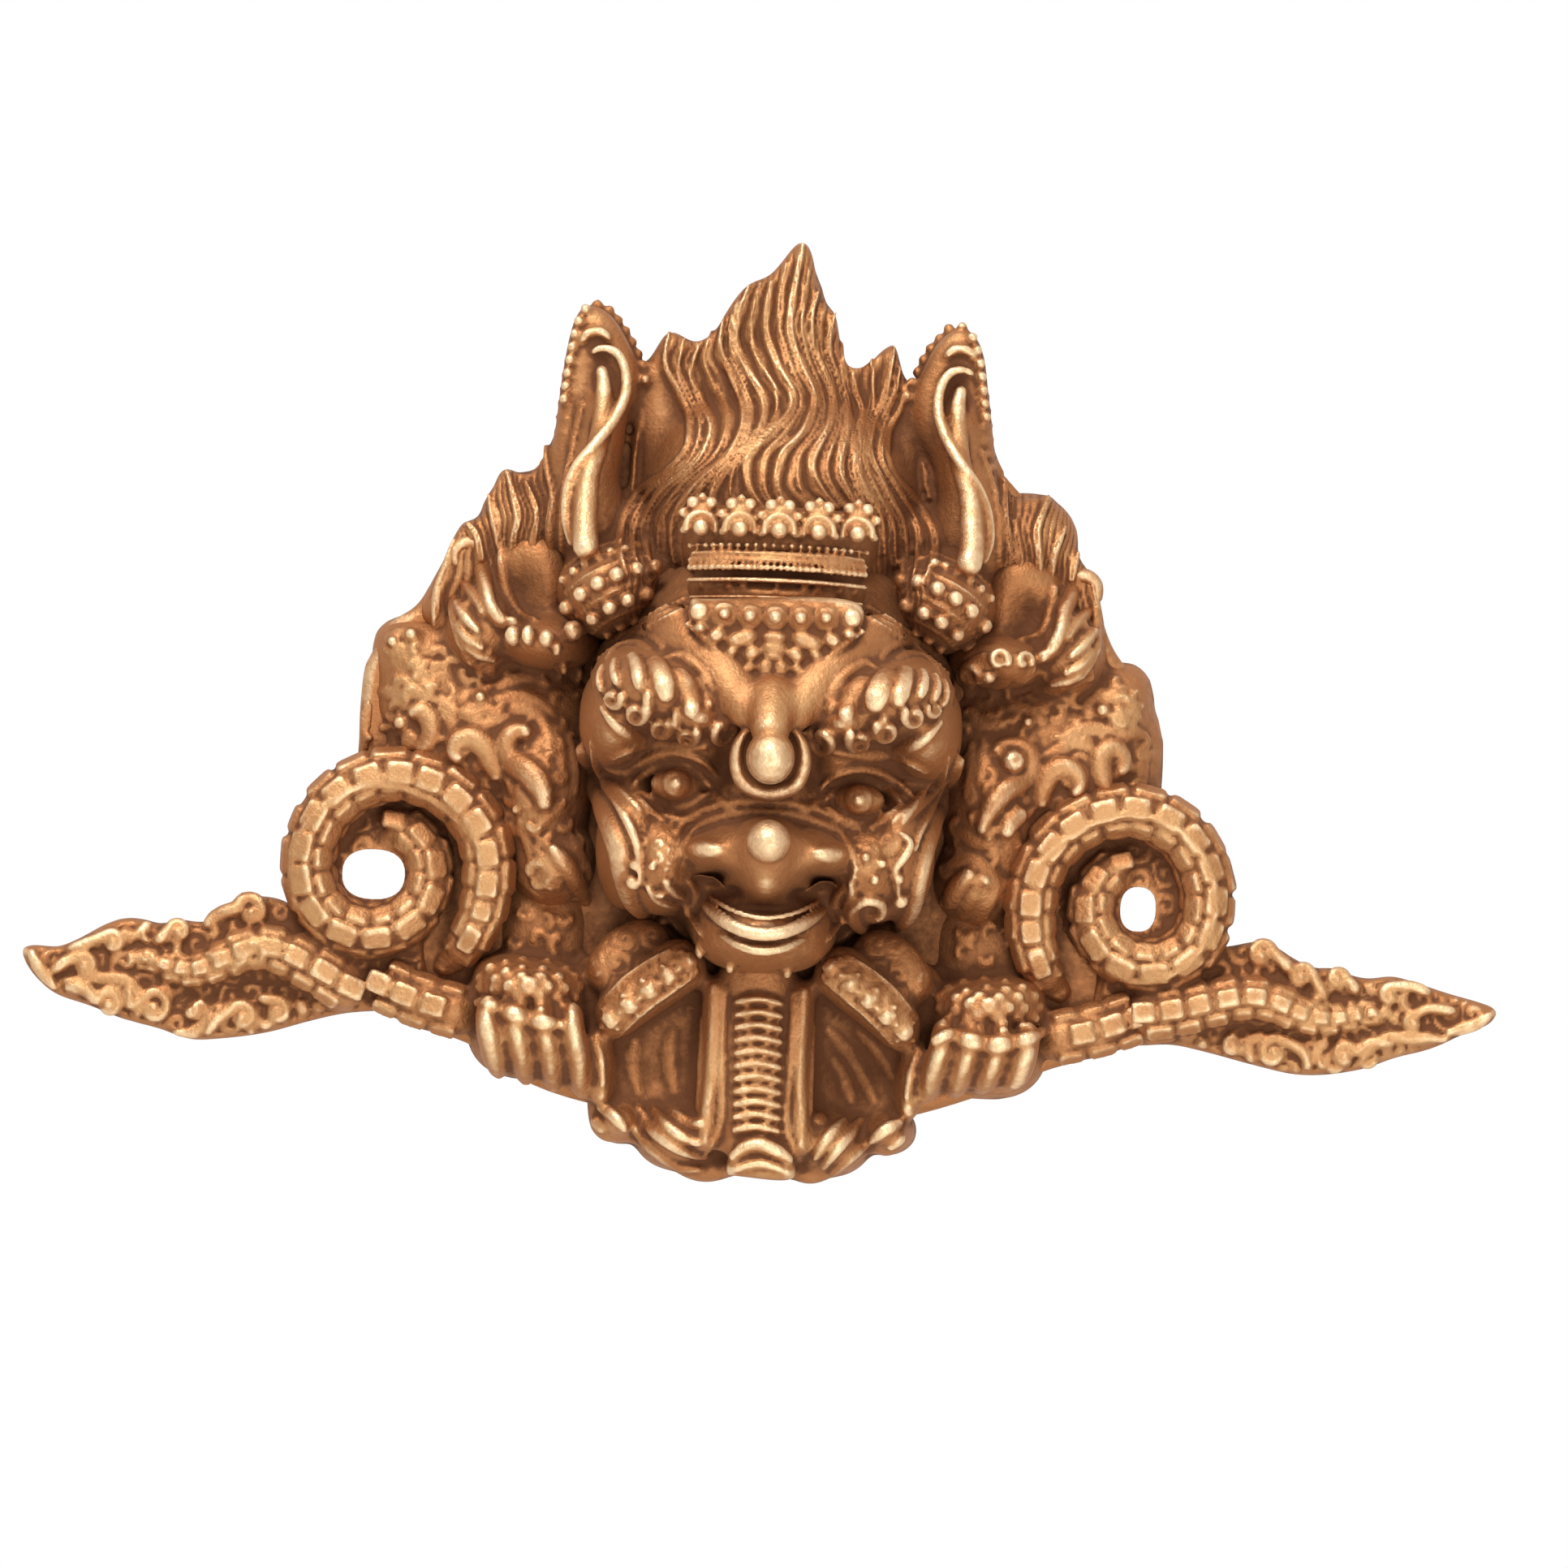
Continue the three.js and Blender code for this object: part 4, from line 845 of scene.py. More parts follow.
def make_crown(sizes):
    """Crown band between beaded rails, with five finials on it."""
    crown = Carving(ground=30)
    crown.dome(0, -15.2, 16.4, 7.2, 34.6, low=16, power=3.6)
    crown.dome(0, -23.6, 15.4, 3.2, 36.6, low=20, power=3.6)
    crown.settle(grain=0.7, passes=4)

    def arc(up, out, half=14.8, parts=9):
        return [(share * half, up - 0.5 * share ** 2, out - 5.0 * share ** 2)
                for share in np.linspace(-1, 1, parts)]

    crown.stroke(arc(-18.0, 36.2), 0.45, high=0.9, blunt=False, sides=10)
    crown.stroke(arc(-21.4, 36.8), 0.45, high=0.9, blunt=False, sides=10)
    crown.stroke(arc(-16.9, 36.0), 0.35, high=0.8)
    crown.stroke(arc(-24.3, 37.8), 0.35, high=0.8)
    for place in smooth_path(arc(-19.3, 37.2), 1.1):
        crown.ball(*place, 0.42, 0.7, 0.8, sides=8, rows=4)
    for place in smooth_path(arc(-15.6, 35.8), 1.5):
        crown.ball(*place, 0.55, 0.55, 0.7, sides=8, rows=4)
    for across in (-12.4, -8, -5.6, 4.6, 6.8, 10.4, 13):
        crown.bead(across, -22.6, 0.75, 0.2)
    crown.stroke(((0, -21.4), (0, -24)), 0.5, lift=0.3)
    for k in range(5):
        x = -13.1 + 6.55 * k
        out = 36.6 - 0.02 * x ** 2
        crown.ball(x, -12.9, out, 1.55, 1.6, 1.7, sides=16, rows=8)
        ring = [(x + 2.5 * math.cos(turn), -13.2 + 2.7 * math.sin(turn), out - 0.3)
                for turn in np.radians(np.linspace(-20, 200, 9))]
        crown.stroke(ring, (0.6, 0.75, 0.75, 0.75, 0.6), high=1.1)
        for across, up, radius in ((1.5, -8.9, 1.15), (3.1, -10.6, 0.85), (2.9, -13.6, 0.7)):
            for half in SIDES:
                crown.ball(x + half * across, up, out - 0.7, radius, radius, 1.1 * radius, sides=12, rows=6)
        crown.ball(x, -9.7, out - 0.5, 0.8, 0.9, 1.0, sides=10, rows=5)
        crown.ball(x, -8.0, out - 1.4, 0.7, 0.9, 0.9, sides=10, rows=5)
    cast("crown", crown, 0.9 * sizes.grain, cutters=(hollow_cutter(),))


# Ears and shoulders

EARS = {
    -1: dict(
        hook=((-54.2, -21.4), (-54.6, -18.4), (-52.6, -16.8), (-50.6, -17.6), (-49.6, -21), (-49.2, -25),
              (-48.1, -28.4), (-45.8, -30.6), (-42.8, -31)),
        band=((-46.8, -16.6), (-46.5, -21.4), (-45.4, -25.6), (-43, -28.8), (-39.8, -30)),
        rim=((-54.4, -23), (-54.3, -28), (-52.9, -33), (-50.6, -37.8)),
        row=((-52.2, -22.6), (-52.4, -26.4), (-51.6, -30.6), (-49.8, -34.4), (-47.8, -37.8)),
        lobe=(-49, -31),
    ),
    1: dict(
        hook=((54.2, -22.6), (53.9, -19.4), (51.8, -18), (49.7, -19.6), (48.9, -24), (48.2, -28.4),
              (46.4, -31.6), (43.8, -32.5)),
        band=((46.9, -19.4), (46.4, -24.4), (44.8, -28.2), (41, -29.6)),
        rim=((54.6, -26), (53.9, -30.6), (51.4, -34.8), (46.6, -36.2)),
        row=((52.8, -23.6), (51.6, -27.2), (52.2, -29.8), (51, -32.8), (49.6, -34.6)),
        lobe=(49, -31),
    ),
}
PANELS = {
    -1: dict(
        leaves=(
            (1.5, ((-61.2, -46.6), (-59.4, -45.6), (-57.7, -47), (-57.2, -49.6), (-58.4, -51.8),
                   (-60, -51.4))),
            (1.3, ((-59.4, -49.4), (-60.8, -50.8), (-60.4, -52.8))),
            (1.75, ((-45.4, -57), (-46.6, -54), (-48, -51.4), (-50.4, -49.9), (-52.6, -50.6), (-53, -52.6),
                    (-51.2, -53.4))),
            (1.1, ((-52.8, -45.4), (-50.6, -46.2), (-48.4, -48.4), (-46.4, -50.6))),
            (1.0, ((-50.8, -44.4), (-47.6, -45.2), (-45, -47.2))),
            (1.85, ((-37.2, -61.6), (-38.2, -57.8), (-40.4, -55.2), (-43.2, -53.4), (-44.4, -51),
                    (-43.6, -48.9), (-41.6, -48.5), (-40.8, -50))),
            (1.3, ((-36.6, -67.4), (-34, -70), (-31.6, -73.6), (-29.6, -77.6))),
            (0.8, ((-38.6, -64), (-36.2, -61.8), (-33.2, -61))),
            (1.0, ((-46.8, -41.2), (-43.8, -39.8), (-41, -39.2), (-37.6, -40.4))),
            (1.0, ((-47, -43.4), (-42.4, -42.6), (-39.6, -43.2), (-36.4, -45.6))),
            (0.9, ((-55.6, -45), (-54, -47.2), (-53.4, -49.2))),
            (0.9, ((-55.2, -52), (-53.8, -54.6), (-51, -56.2))),
            (0.9, ((-44.4, -44.6), (-40.6, -45), (-37.8, -47.8), (-37, -51.4))),
            (0.8, ((-36.4, -48), (-35.2, -52.4), (-34.6, -57))),
            (0.8, ((-33.8, -49), (-32.8, -54), (-32.4, -59))),
            (1.1, ((-44.2, -57.8), (-41.8, -58.8), (-40.2, -61.6))),
            (0.9, ((-46.4, -54), (-43.6, -55.4), (-42, -56.6))),
            (1.0, ((-57, -55.4), (-51.4, -57), (-46.6, -61), (-44.2, -66), (-43.2, -72))),
            (0.9, ((-41.8, -62.8), (-40.4, -66.4), (-39.4, -70.4))),
            (1.0, ((-38.4, -68.6), (-35.6, -72), (-34.6, -75.4))),
            (0.8, ((-33.4, -65), (-31.4, -68.4), (-29.4, -71.6))),
            (0.8, ((-42, -73), (-39.6, -74.4), (-37.4, -77))),
            (0.8, ((-67.6, -42.6), (-63, -43), (-59.6, -42.8), (-56, -44))),
            (0.9, ((-66, -33.8), (-62.6, -32.6), (-59.4, -33.4))),
            (0.8, ((-68, -44), (-68.6, -48), (-68.2, -53))),
        ),
        beads=((-62.3, -47.7, 1.4), (-65.4, -48.8, 0.9), (-64.6, -52.6, 0.9), (-61.4, -33, 1.1),
               (-64.4, -34.2, 0.9), (-55.6, -50.2, 0.8), (-51.2, -52.2, 0.9), (-43.6, -57, 0.8),
               (-67.6, -45.4, 0.8), (-67.8, -50.6, 0.8), (-49.2, -43, 1.1), (-42.2, -61.6, 0.8)),
    ),
    1: dict(
        leaves=(
            (1.15, ((33.4, -39.6), (33.0, -36.4), (34.4, -33.6), (37.2, -33), (39.2, -34.8), (38.6, -37),
                    (36.6, -37.2))),
            (0.7, ((31.6, -38), (31.6, -34.4), (34, -31.4))),
            (1.0, ((40.3, -31.6), (40.6, -34.6), (42.2, -35.8), (43.4, -34.2), (42.8, -31.4))),
            (1.0, ((43.6, -37.4), (47.6, -37.2), (51, -34.6), (53.4, -31.4))),
            (1.1, ((43, -38.4), (46.6, -39.6), (49.6, -38.4))),
            (1.0, ((39.6, -40.6), (43.2, -41.2), (46.4, -43.4))),
            (0.9, ((33, -42), (36.4, -43.8), (40, -43.4))),
            (1.6, ((46.2, -57.6), (46.4, -53.8), (48, -51.1), (50.4, -50.5), (52.2, -52), (52.2, -54),
                   (50.8, -54.8))),
            (1.5, ((57.4, -55), (56.2, -51.4), (56, -48.4), (57.6, -46.9), (59.4, -48), (59.6, -50.2),
                   (58.2, -50.8))),
            (0.9, ((62.4, -48.6), (62.6, -51.6))),
            (1.5, ((36.2, -62.4), (37.4, -58.4), (39.6, -55.2), (42.6, -53), (44.2, -50.6), (43.8, -48.4),
                   (41.8, -47.2), (39.2, -47.6), (38, -49.6))),
            (1.4, ((43.4, -58), (41.2, -60), (39.9, -62.8))), (1.1, ((44, -55), (42.6, -56.8))),
            (1.0, ((45.6, -49), (49, -47.6), (51.2, -44.6), (54.6, -43.8), (58.4, -44.8), (62.8, -43.8))),
            (1.2, ((54.2, -42.4), (53.6, -39.8), (55.4, -38.2), (57.6, -39))),
            (1.0, ((34, -46.8), (34.4, -51.6), (33.4, -57))),
            (1.0, ((36.4, -46.6), (36.2, -51), (35.4, -54.6))),
            (0.9, ((53, -48), (53.8, -51), (54.4, -54.4))),
            (0.9, ((50.6, -46.2), (53.6, -46.4), (54.4, -48.4))),
            (1.0, ((44.2, -65.4), (46.6, -60), (51, -56.6), (57, -55.4))),
            (1.4, ((31.4, -75), (32.6, -71.6), (35.4, -68.4))),
            (0.9, ((33.4, -77), (35, -73.2), (36.4, -70))),
            (1.0, ((30, -65), (34, -66.2), (38.4, -69.6), (41, -74.6))),
            (0.9, ((29.8, -69.4), (32, -67.4), (35.4, -66.8))),
            (0.9, ((38, -64.6), (40.6, -67), (42.6, -71.4))),
            (0.9, ((40.2, -63.8), (43, -66), (43.8, -69.4))), (0.9, ((35.6, -78), (38, -74.6), (39.6, -71))),
            (0.9, ((31.6, -61), (34.8, -63.4), (38.6, -63.8))),
            (0.8, ((63, -45.6), (63.4, -50), (63, -54.4))),
        ),
        beads=((40.8, -50.2, 2.3), (36.4, -35.4, 1.3), (50.2, -53, 0.9), (58.6, -49.2, 0.8), (56, -40.6, 1.2),
               (61, -50, 0.8), (61.6, -53, 0.8), (43.4, -43.2, 1.0), (41.8, -72, 1.0), (34.6, -59.4, 0.8)),
    ),
}


def make_sides(sizes):
    """Ears with their pendants, and the scrolled panels between them and the coils."""
    carving = Carving(ground=5)
    for side in SIDES:
        carving.dome(side * 47, -50, 20, 15.5, 11.5, power=3)
        carving.dome(side * 38, -58, 9, 16, 15)
        carving.dome(side * 36, -70, 8, 9, 14)
        carving.dome(side * 58, -42, 10 if side < 0 else 7, 10, 10, power=3)
    carving.dome(-60, -36.6, 8.4, 7.4, 9, power=2.6)
    for side in SIDES:
        ear = EARS[side]
        carving.dome(*ear["lobe"], 7.6, 9.6, 15, lean=side * 14)
        carving.dome(side * 38, -33, 9, 5, 21, low=4)
        carving.dome(side * 41.6, -23, 9, 12.5, 12.6, lean=side * 10)

    def hollows(points):
        dent(points, -43.2, -24.6, 6, 8, 3.6, 4)
        return dent(points, 42.8, -25.2, 5.8, 8, 3.6, 4)

    carving.settle(grain=0.9, passes=6, shape=hollows)
    for side in SIDES:
        ear = EARS[side]
        carving.stroke(ear["hook"], (0.9, 1.35, 1.5, 1.45, 1.3, 1.3, 1.0), high=1.7, lift=0.8, sides=12)
        carving.stroke(ear["band"], (0.6, 0.9, 1.0, 0.8, 0.5), high=0.8, lift=0.1, sides=12)
        carving.stroke(ear["rim"], (0.6, 1.1, 1.1, 0.6), lift=0.2)
        for place in smooth_path(ear["row"], 2.9):
            carving.bead(*place, 1.2, 0.0, high=0.6, tall=1.5, lean=side * -20)
    pendants = ((-43.4, -32.6, 1.5, 1.9), (-41, -32.4, 1.2, 2.0), (-38.2, -32.8, 1.4, 1.7),
                (-36.6, -34, 0.9, 1.4), (-34.4, -31.6, 1.9, 1.9), (-35.4, -36.8, 0.8, 1.3),
                (-33.4, -38, 0.9, 1.6))
    for across, up, wide, tall in pendants:
        carving.bead(across, up, wide, 0.7, high=1.7, tall=tall)
    for path in (
        ((53.3, -23.6), (50.6, -26.4), (49.2, -29.4)), ((54, -26.8), (51.8, -30.0), (49.4, -32.2)),
        ((53.6, -30.2), (51.6, -33.0), (48.6, -34.6)), ((52.2, -33.6), (50, -35.4), (46.6, -36.4)),
    ):
        for side in SIDES:
            carving.stroke(flip(path, side), (0.9, 1.1, 0.5), high=1.0, lift=0.35)
    for across, up, reach in ((33.4, -35.2, 2.3), (37.8, -33, 2.0), (41.8, -33, 1.8)):
        carving.curl(across, up, reach, 0.42 * reach, start=-40, turns=1.1, lift=0.9)
    chance = np.random.default_rng(3)
    for side in SIDES:
        foliage(carving, chance, side * 48, -48, 18, 13, size=0.6)
        foliage(carving, chance, side * 61, -41, 7, 9, size=0.65)
        foliage(carving, chance, side * 38, -68, 8, 14, size=0.75)
    for panel in PANELS.values():
        for size, path in panel["leaves"]:
            broad = 1.3 * size
            bold = size > 1.2
            carving.stroke(path, (0.5 * broad, broad, broad, 0.85 * broad, 0.6 * broad),
                           high=0.9 * size if bold else 0.45 * size, lift=0.2 * size if bold else 0.05,
                           sides=10)
        for across, up, radius in panel["beads"]:
            carving.bead(across, up, radius, 0.45)

    cast("ears_and_shoulders", carving, sizes.grain, cutters=(hollow_cutter(), *drills()))


# Serpents

COILS = {
    -1: dict(
        across=-66,
        up=-73.6,
        hole=(5.8, 4.6),
        reach=(19.6, 19.4, 19.8, 18.8, 16.9, 14.4, 12.2, 11.0, 10.4, 9.8, 9.3, 9.1, 9.1, 9.2, 9.3, 9.0, 8.0),
    ),
    1: dict(
        across=63.4,
        up=-73.9,
        hole=(3.3, 4.1),
        reach=(19.2, 18.3, 18.2, 17.6, 16.6, 14.9, 12.8, 11.6, 11.2, 10.3, 9.2, 8.4, 7.9, 7.6, 7.5, 7.4, 6.9),
    ),
}
SNAKE = 4.3
LEAVES = {
    -1: ((-57, -84), (-70, -84.6), (-77, -82), (-80.6, -79), (-84.4, -78.2), (-88, -78.6), (-90.6, -80.4),
         (-93.6, -82.8), (-96.2, -83), (-98.6, -82.7), (-101.6, -83.6), (-105, -82.9), (-108, -82.9),
         (-111.4, -84.2), (-115, -86.4), (-119, -88.2), (-123, -88.1), (-125, -88.6), (-124.4, -91),
         (-122, -94), (-119, -96.2), (-113, -98), (-108, -99.8), (-101, -101.4), (-96, -102.9), (-91, -102.6),
         (-83, -101.2), (-76, -99), (-70, -97.4), (-63, -96.6), (-57, -96)),
    1: ((57, -84), (70, -84), (77, -80), (80, -79.4), (84, -78.5), (87, -79.2), (90, -81), (94, -82.6),
        (97, -82.4), (99.6, -83.4), (103, -84), (107, -83.4), (112, -84.6), (117, -86), (122, -87.2),
        (125, -88.4), (124, -90.6), (120, -92.4), (114, -95.4), (108, -97.2), (103, -99.2), (96, -100.6),
        (91, -100.7), (84, -99.4), (76, -97.6), (70, -96.6), (64, -97), (57, -96)),
}
WAVES = {
    -1: ((-66.8, -93.8, 8.6), (-69.8, -93.0, 9.4), (-73.4, -91.0, 10), (-77.6, -88.9, 10.2),
         (-82, -87.2, 10.2), (-86.4, -87.3, 10.2), (-90.8, -89.4, 10), (-95.4, -91.2, 9.6),
         (-100, -90.8, 9.2), (-104, -89.6, 8.8), (-108, -90, 8.4), (-111.4, -90.6, 7.6)),
    1: ((62, -92, 9.6), (67, -91.6, 9.8), (73, -90.4, 10), (78, -89, 10.2), (82.6, -88.2, 10.2),
        (87, -88.8, 10), (91, -90.4, 9.8), (95, -91.2, 9.6), (99, -91, 9.2), (103, -90, 8.8),
        (107, -89.8, 8.4), (111, -90, 7.6)),
}

SCROLLS = {
    -1: dict(
        curls=(
            (-114.2, -91.2, 2.4, 0.75, 100, -1, ((-120, -92.6), (-117, -90.4))),
            (-109.6, -87.0, 2.2, 0.7, 95, -1, ((-117.4, -89), (-113, -87))),
            (-98.6, -84.8, 2.3, 0.75, 170, -1, ((-102.6, -87),)),
            (-86.4, -81.0, 3.4, 0.9, 165, -1, ((-94.4, -84), (-91, -81.4))),
            (-109.8, -97.4, 2.9, 0.85, 160, -1, ((-117.6, -94.8), (-114, -95))),
            (-102.2, -97.6, 3.3, 0.75, 95, -1, ((-106.4, -92.8), (-106, -97.4))),
            (-95.8, -98, 1.9, 0.7, 100, -1, ()),
            (-87.2, -98.6, 3.0, 0.8, 150, -1, ((-93.4, -102), (-91.6, -99.4))),
            (-81.4, -97.4, 2.6, 0.7, 100, -1, ((-85, -95.4),)),
        ),
        lines=(
            ((-118, -94), (-112, -93.2), (-107, -93.4), (-104.6, -96), (-105, -99.6)),
            ((-99, -101.6), (-95, -101.4), (-93, -98.6), (-94.8, -95.8)),
            ((-123.6, -88.8), (-122, -91.6), (-118.6, -95.4)), ((-78, -95.4), (-76.4, -97.8)),
            ((-75, -95), (-73.6, -97.2)),
        ),
    ),
    1: dict(
        curls=(
            (110.8, -91.0, 2.1, 0.7, 80, 1, ((118, -88.8), (113, -88.6))),
            (106.6, -86.6, 2.1, 0.7, 85, 1, ((113.6, -86), (109.6, -85))),
            (97.6, -84.4, 2.2, 0.7, 10, 1, ((101.4, -86.6),)), (91.4, -84.2, 2.6, 0.75, 20, 1, ((96, -88),)),
            (84.6, -80.8, 2.8, 0.8, 15, 1, ((90.4, -83.6),)),
            (99.4, -97.0, 2.7, 0.75, 20, 1, ((108, -94.6), (103.6, -94.8))),
            (80.6, -96.2, 2.2, 0.65, 60, 1, ()),
            (87.4, -97.0, 3.2, 0.75, 60, 1, ((93.6, -99.8), (92.4, -96.8))),
        ),
        lines=(
            ((117, -93.4), (111, -93.6), (106, -94), (102, -97.8)),
            ((96, -99.6), (94.6, -96.4), (96.8, -94.6)), ((124, -88.8), (121.6, -90.6), (116, -92.6)),
            ((76, -95), (74.6, -96.8)), ((84, -99), (83, -95.8), (86, -94)),
        ),
    ),
}


def smoothstep(value):
    value = np.clip(value, 0, 1)
    return value * value * (3 - 2 * value)


def drills():
    """Cutters for the see-through holes of the coils."""
    made = []
    for coil in COILS.values():
        drill = Carving()
        drill.dome(coil["across"], coil["up"], *coil["hole"], 60, low=-5, power=2.4, sides=32, rows=2)
        made.append(mesh_object("hole", np.concatenate(drill.points), drill.faces))
    return made


def coil_path(side):
    """The winding middle line of the serpent, from the fist to the end of the ring."""
    coil = COILS[side]
    degrees = np.linspace(-56, 446, 51)
    turn = np.radians(degrees)
    radius = np.interp(degrees, np.linspace(-36, 446, len(coil["reach"])), coil["reach"])
    out = (8.4 + 0.8 * np.cos(turn / 2) - 1.8 * smoothstep((degrees - 300) / 150)
           - 4 * smoothstep((-26 - degrees) / 24))
    return np.stack((coil["across"] - side * radius * np.cos(turn), coil["up"] + radius * np.sin(turn), out),
                    axis=1)


def scales(carving, path, radius, rows, length, side=1, twist=(0.0,)):
    """Rows of rounded plates round a body. A row is an angle from the front, a width and a starting share."""
    path = smooth_path(path, 0.4)
    centre = at(*path.T)
    along = unit(np.gradient(centre, axis=0))
    across = unit(np.cross(along, TOWARDS_VIEWER)) * side
    rise = unit(np.cross(across, along)) * side
    steps = np.concatenate(((0.0,), np.cumsum(np.linalg.norm(np.diff(centre, axis=0), axis=1))))
    radii = sizes_along(radius, steps / steps[-1])
    for angle, wide, start in rows:
        turn = np.radians(angle + sizes_along(twist, steps / steps[-1]))[:, None]
        outward = np.cos(turn) * rise + np.sin(turn) * across
        sideways = np.cos(turn) * across - np.sin(turn) * rise
        spots = centre + outward * radii[:, None] * 0.93
        bend = (np.linalg.norm(np.gradient(spots, axis=0), axis=1)
                / np.linalg.norm(np.gradient(centre, axis=0), axis=1))
        place = start * length
        while place < steps[-1] - 0.3 * length:
            k = min(int(np.searchsorted(steps, place)), len(centre) - 1)
            thick = max(radii[k] / SNAKE, 0.5)
            if outward[k][1] < 0.25:
                half = ((0.5 * length * thick - 0.3) * np.clip(bend[k], 0.5, 1.5), 0.5 * wide * thick - 0.18,
                        0.85 * thick)
                carving.pillow(spots[k], half, (along[k], sideways[k], outward[k]), power=6, sides=20, rows=5,
                               bulge=4.0)
            place += length * thick


def make_serpent(sizes, side):
    """Serpent coil with the see-through hole, and the waving tail on its leaf."""
    coil = COILS[side]
    serpent = Carving(ground=5)
    serpent.plate(LEAVES[side], 0, 6.8, soft=1.6)
    serpent.dome(coil["across"] - 1.5 * side, coil["up"] + 1.5, 15, 14, 8.2, power=2.6)
    serpent.dome(side * 68, -88, 9, 7, 8)
    path = coil_path(side)
    body = SNAKE * np.array((0.42, 0.8, 0.98, 1.02, 1.02, 1, 1, 1, 0.98, 0.96, 0.94, 0.92, 0.8))
    serpent.stroke(path, body, sides=20, step=1.0)
    wave = WAVES[side]
    wave_size = (4.2, 4.4, 4.3, 4.1, 3.9, 3.6, 3.3, 3.0, 2.6, 2.2, 1.9, 1.2)
    serpent.stroke([(x, z, out - 3) for x, z, out in wave], wave_size, sides=16, step=1.0)
    serpent.settle(grain=0.8, passes=3)
    turn = np.radians(np.linspace(10, 300, 24))
    ledge = sizes_along(coil["reach"][5:], np.linspace(0, 1, 24)) + SNAKE + 0.4
    serpent.stroke(list(zip(coil["across"] - side * ledge * np.cos(turn), coil["up"] + ledge * np.sin(turn))),
                   0.7, lift=0.1)
    rows = ((0, 4.5, 1.9), (-58, 4.1, 1.4), (58, 4.1, 1.4), (112, 3.8, 1.9), (-110, 3.6, 1.9))
    scales(serpent, path, body, rows, 5.3, side, twist=(0, 0, 0, -8, -20, -24, -24, -24))
    wave_rows = ((-8, 4.1, 0.6), (46, 3.5, 1.1), (-60, 3.5, 1.6), (96, 2.9, 1.1))
    scales(serpent, [(x, z, out - 3) for x, z, out in wave], wave_size, wave_rows, 4.9, side)
    for across, up, reach, thick, start, hand, lead in SCROLLS[side]["curls"]:
        serpent.curl(across, up, reach, 1.7 * thick, start=start, turns=1.0, hand=hand, lead=lead, lift=0.2)
    for line in SCROLLS[side]["lines"]:
        serpent.stroke(line, (0.6, 1.3, 1.3, 0.6), high=0.9, lift=0.15)

    chance = np.random.default_rng(5 + side)
    foliage(serpent, chance, side * 93, -97.6, 24, 4, cell=4.2, size=0.95)
    foliage(serpent, chance, side * 97, -85.6, 22, 2.6, cell=3.8, size=0.85)

    def skin(points):
        flat = np.clip((9.5 + points[:, 1]) / 2.0, 0, 1)
        return scrolls(points, serpent.bare(points) * flat, cell=4.4, pitch=2.4, depth=0.4)

    cast("left_serpent" if side < 0 else "right_serpent", serpent, sizes.grain, cutters=drills(), shape=skin)


# Fists and lower body

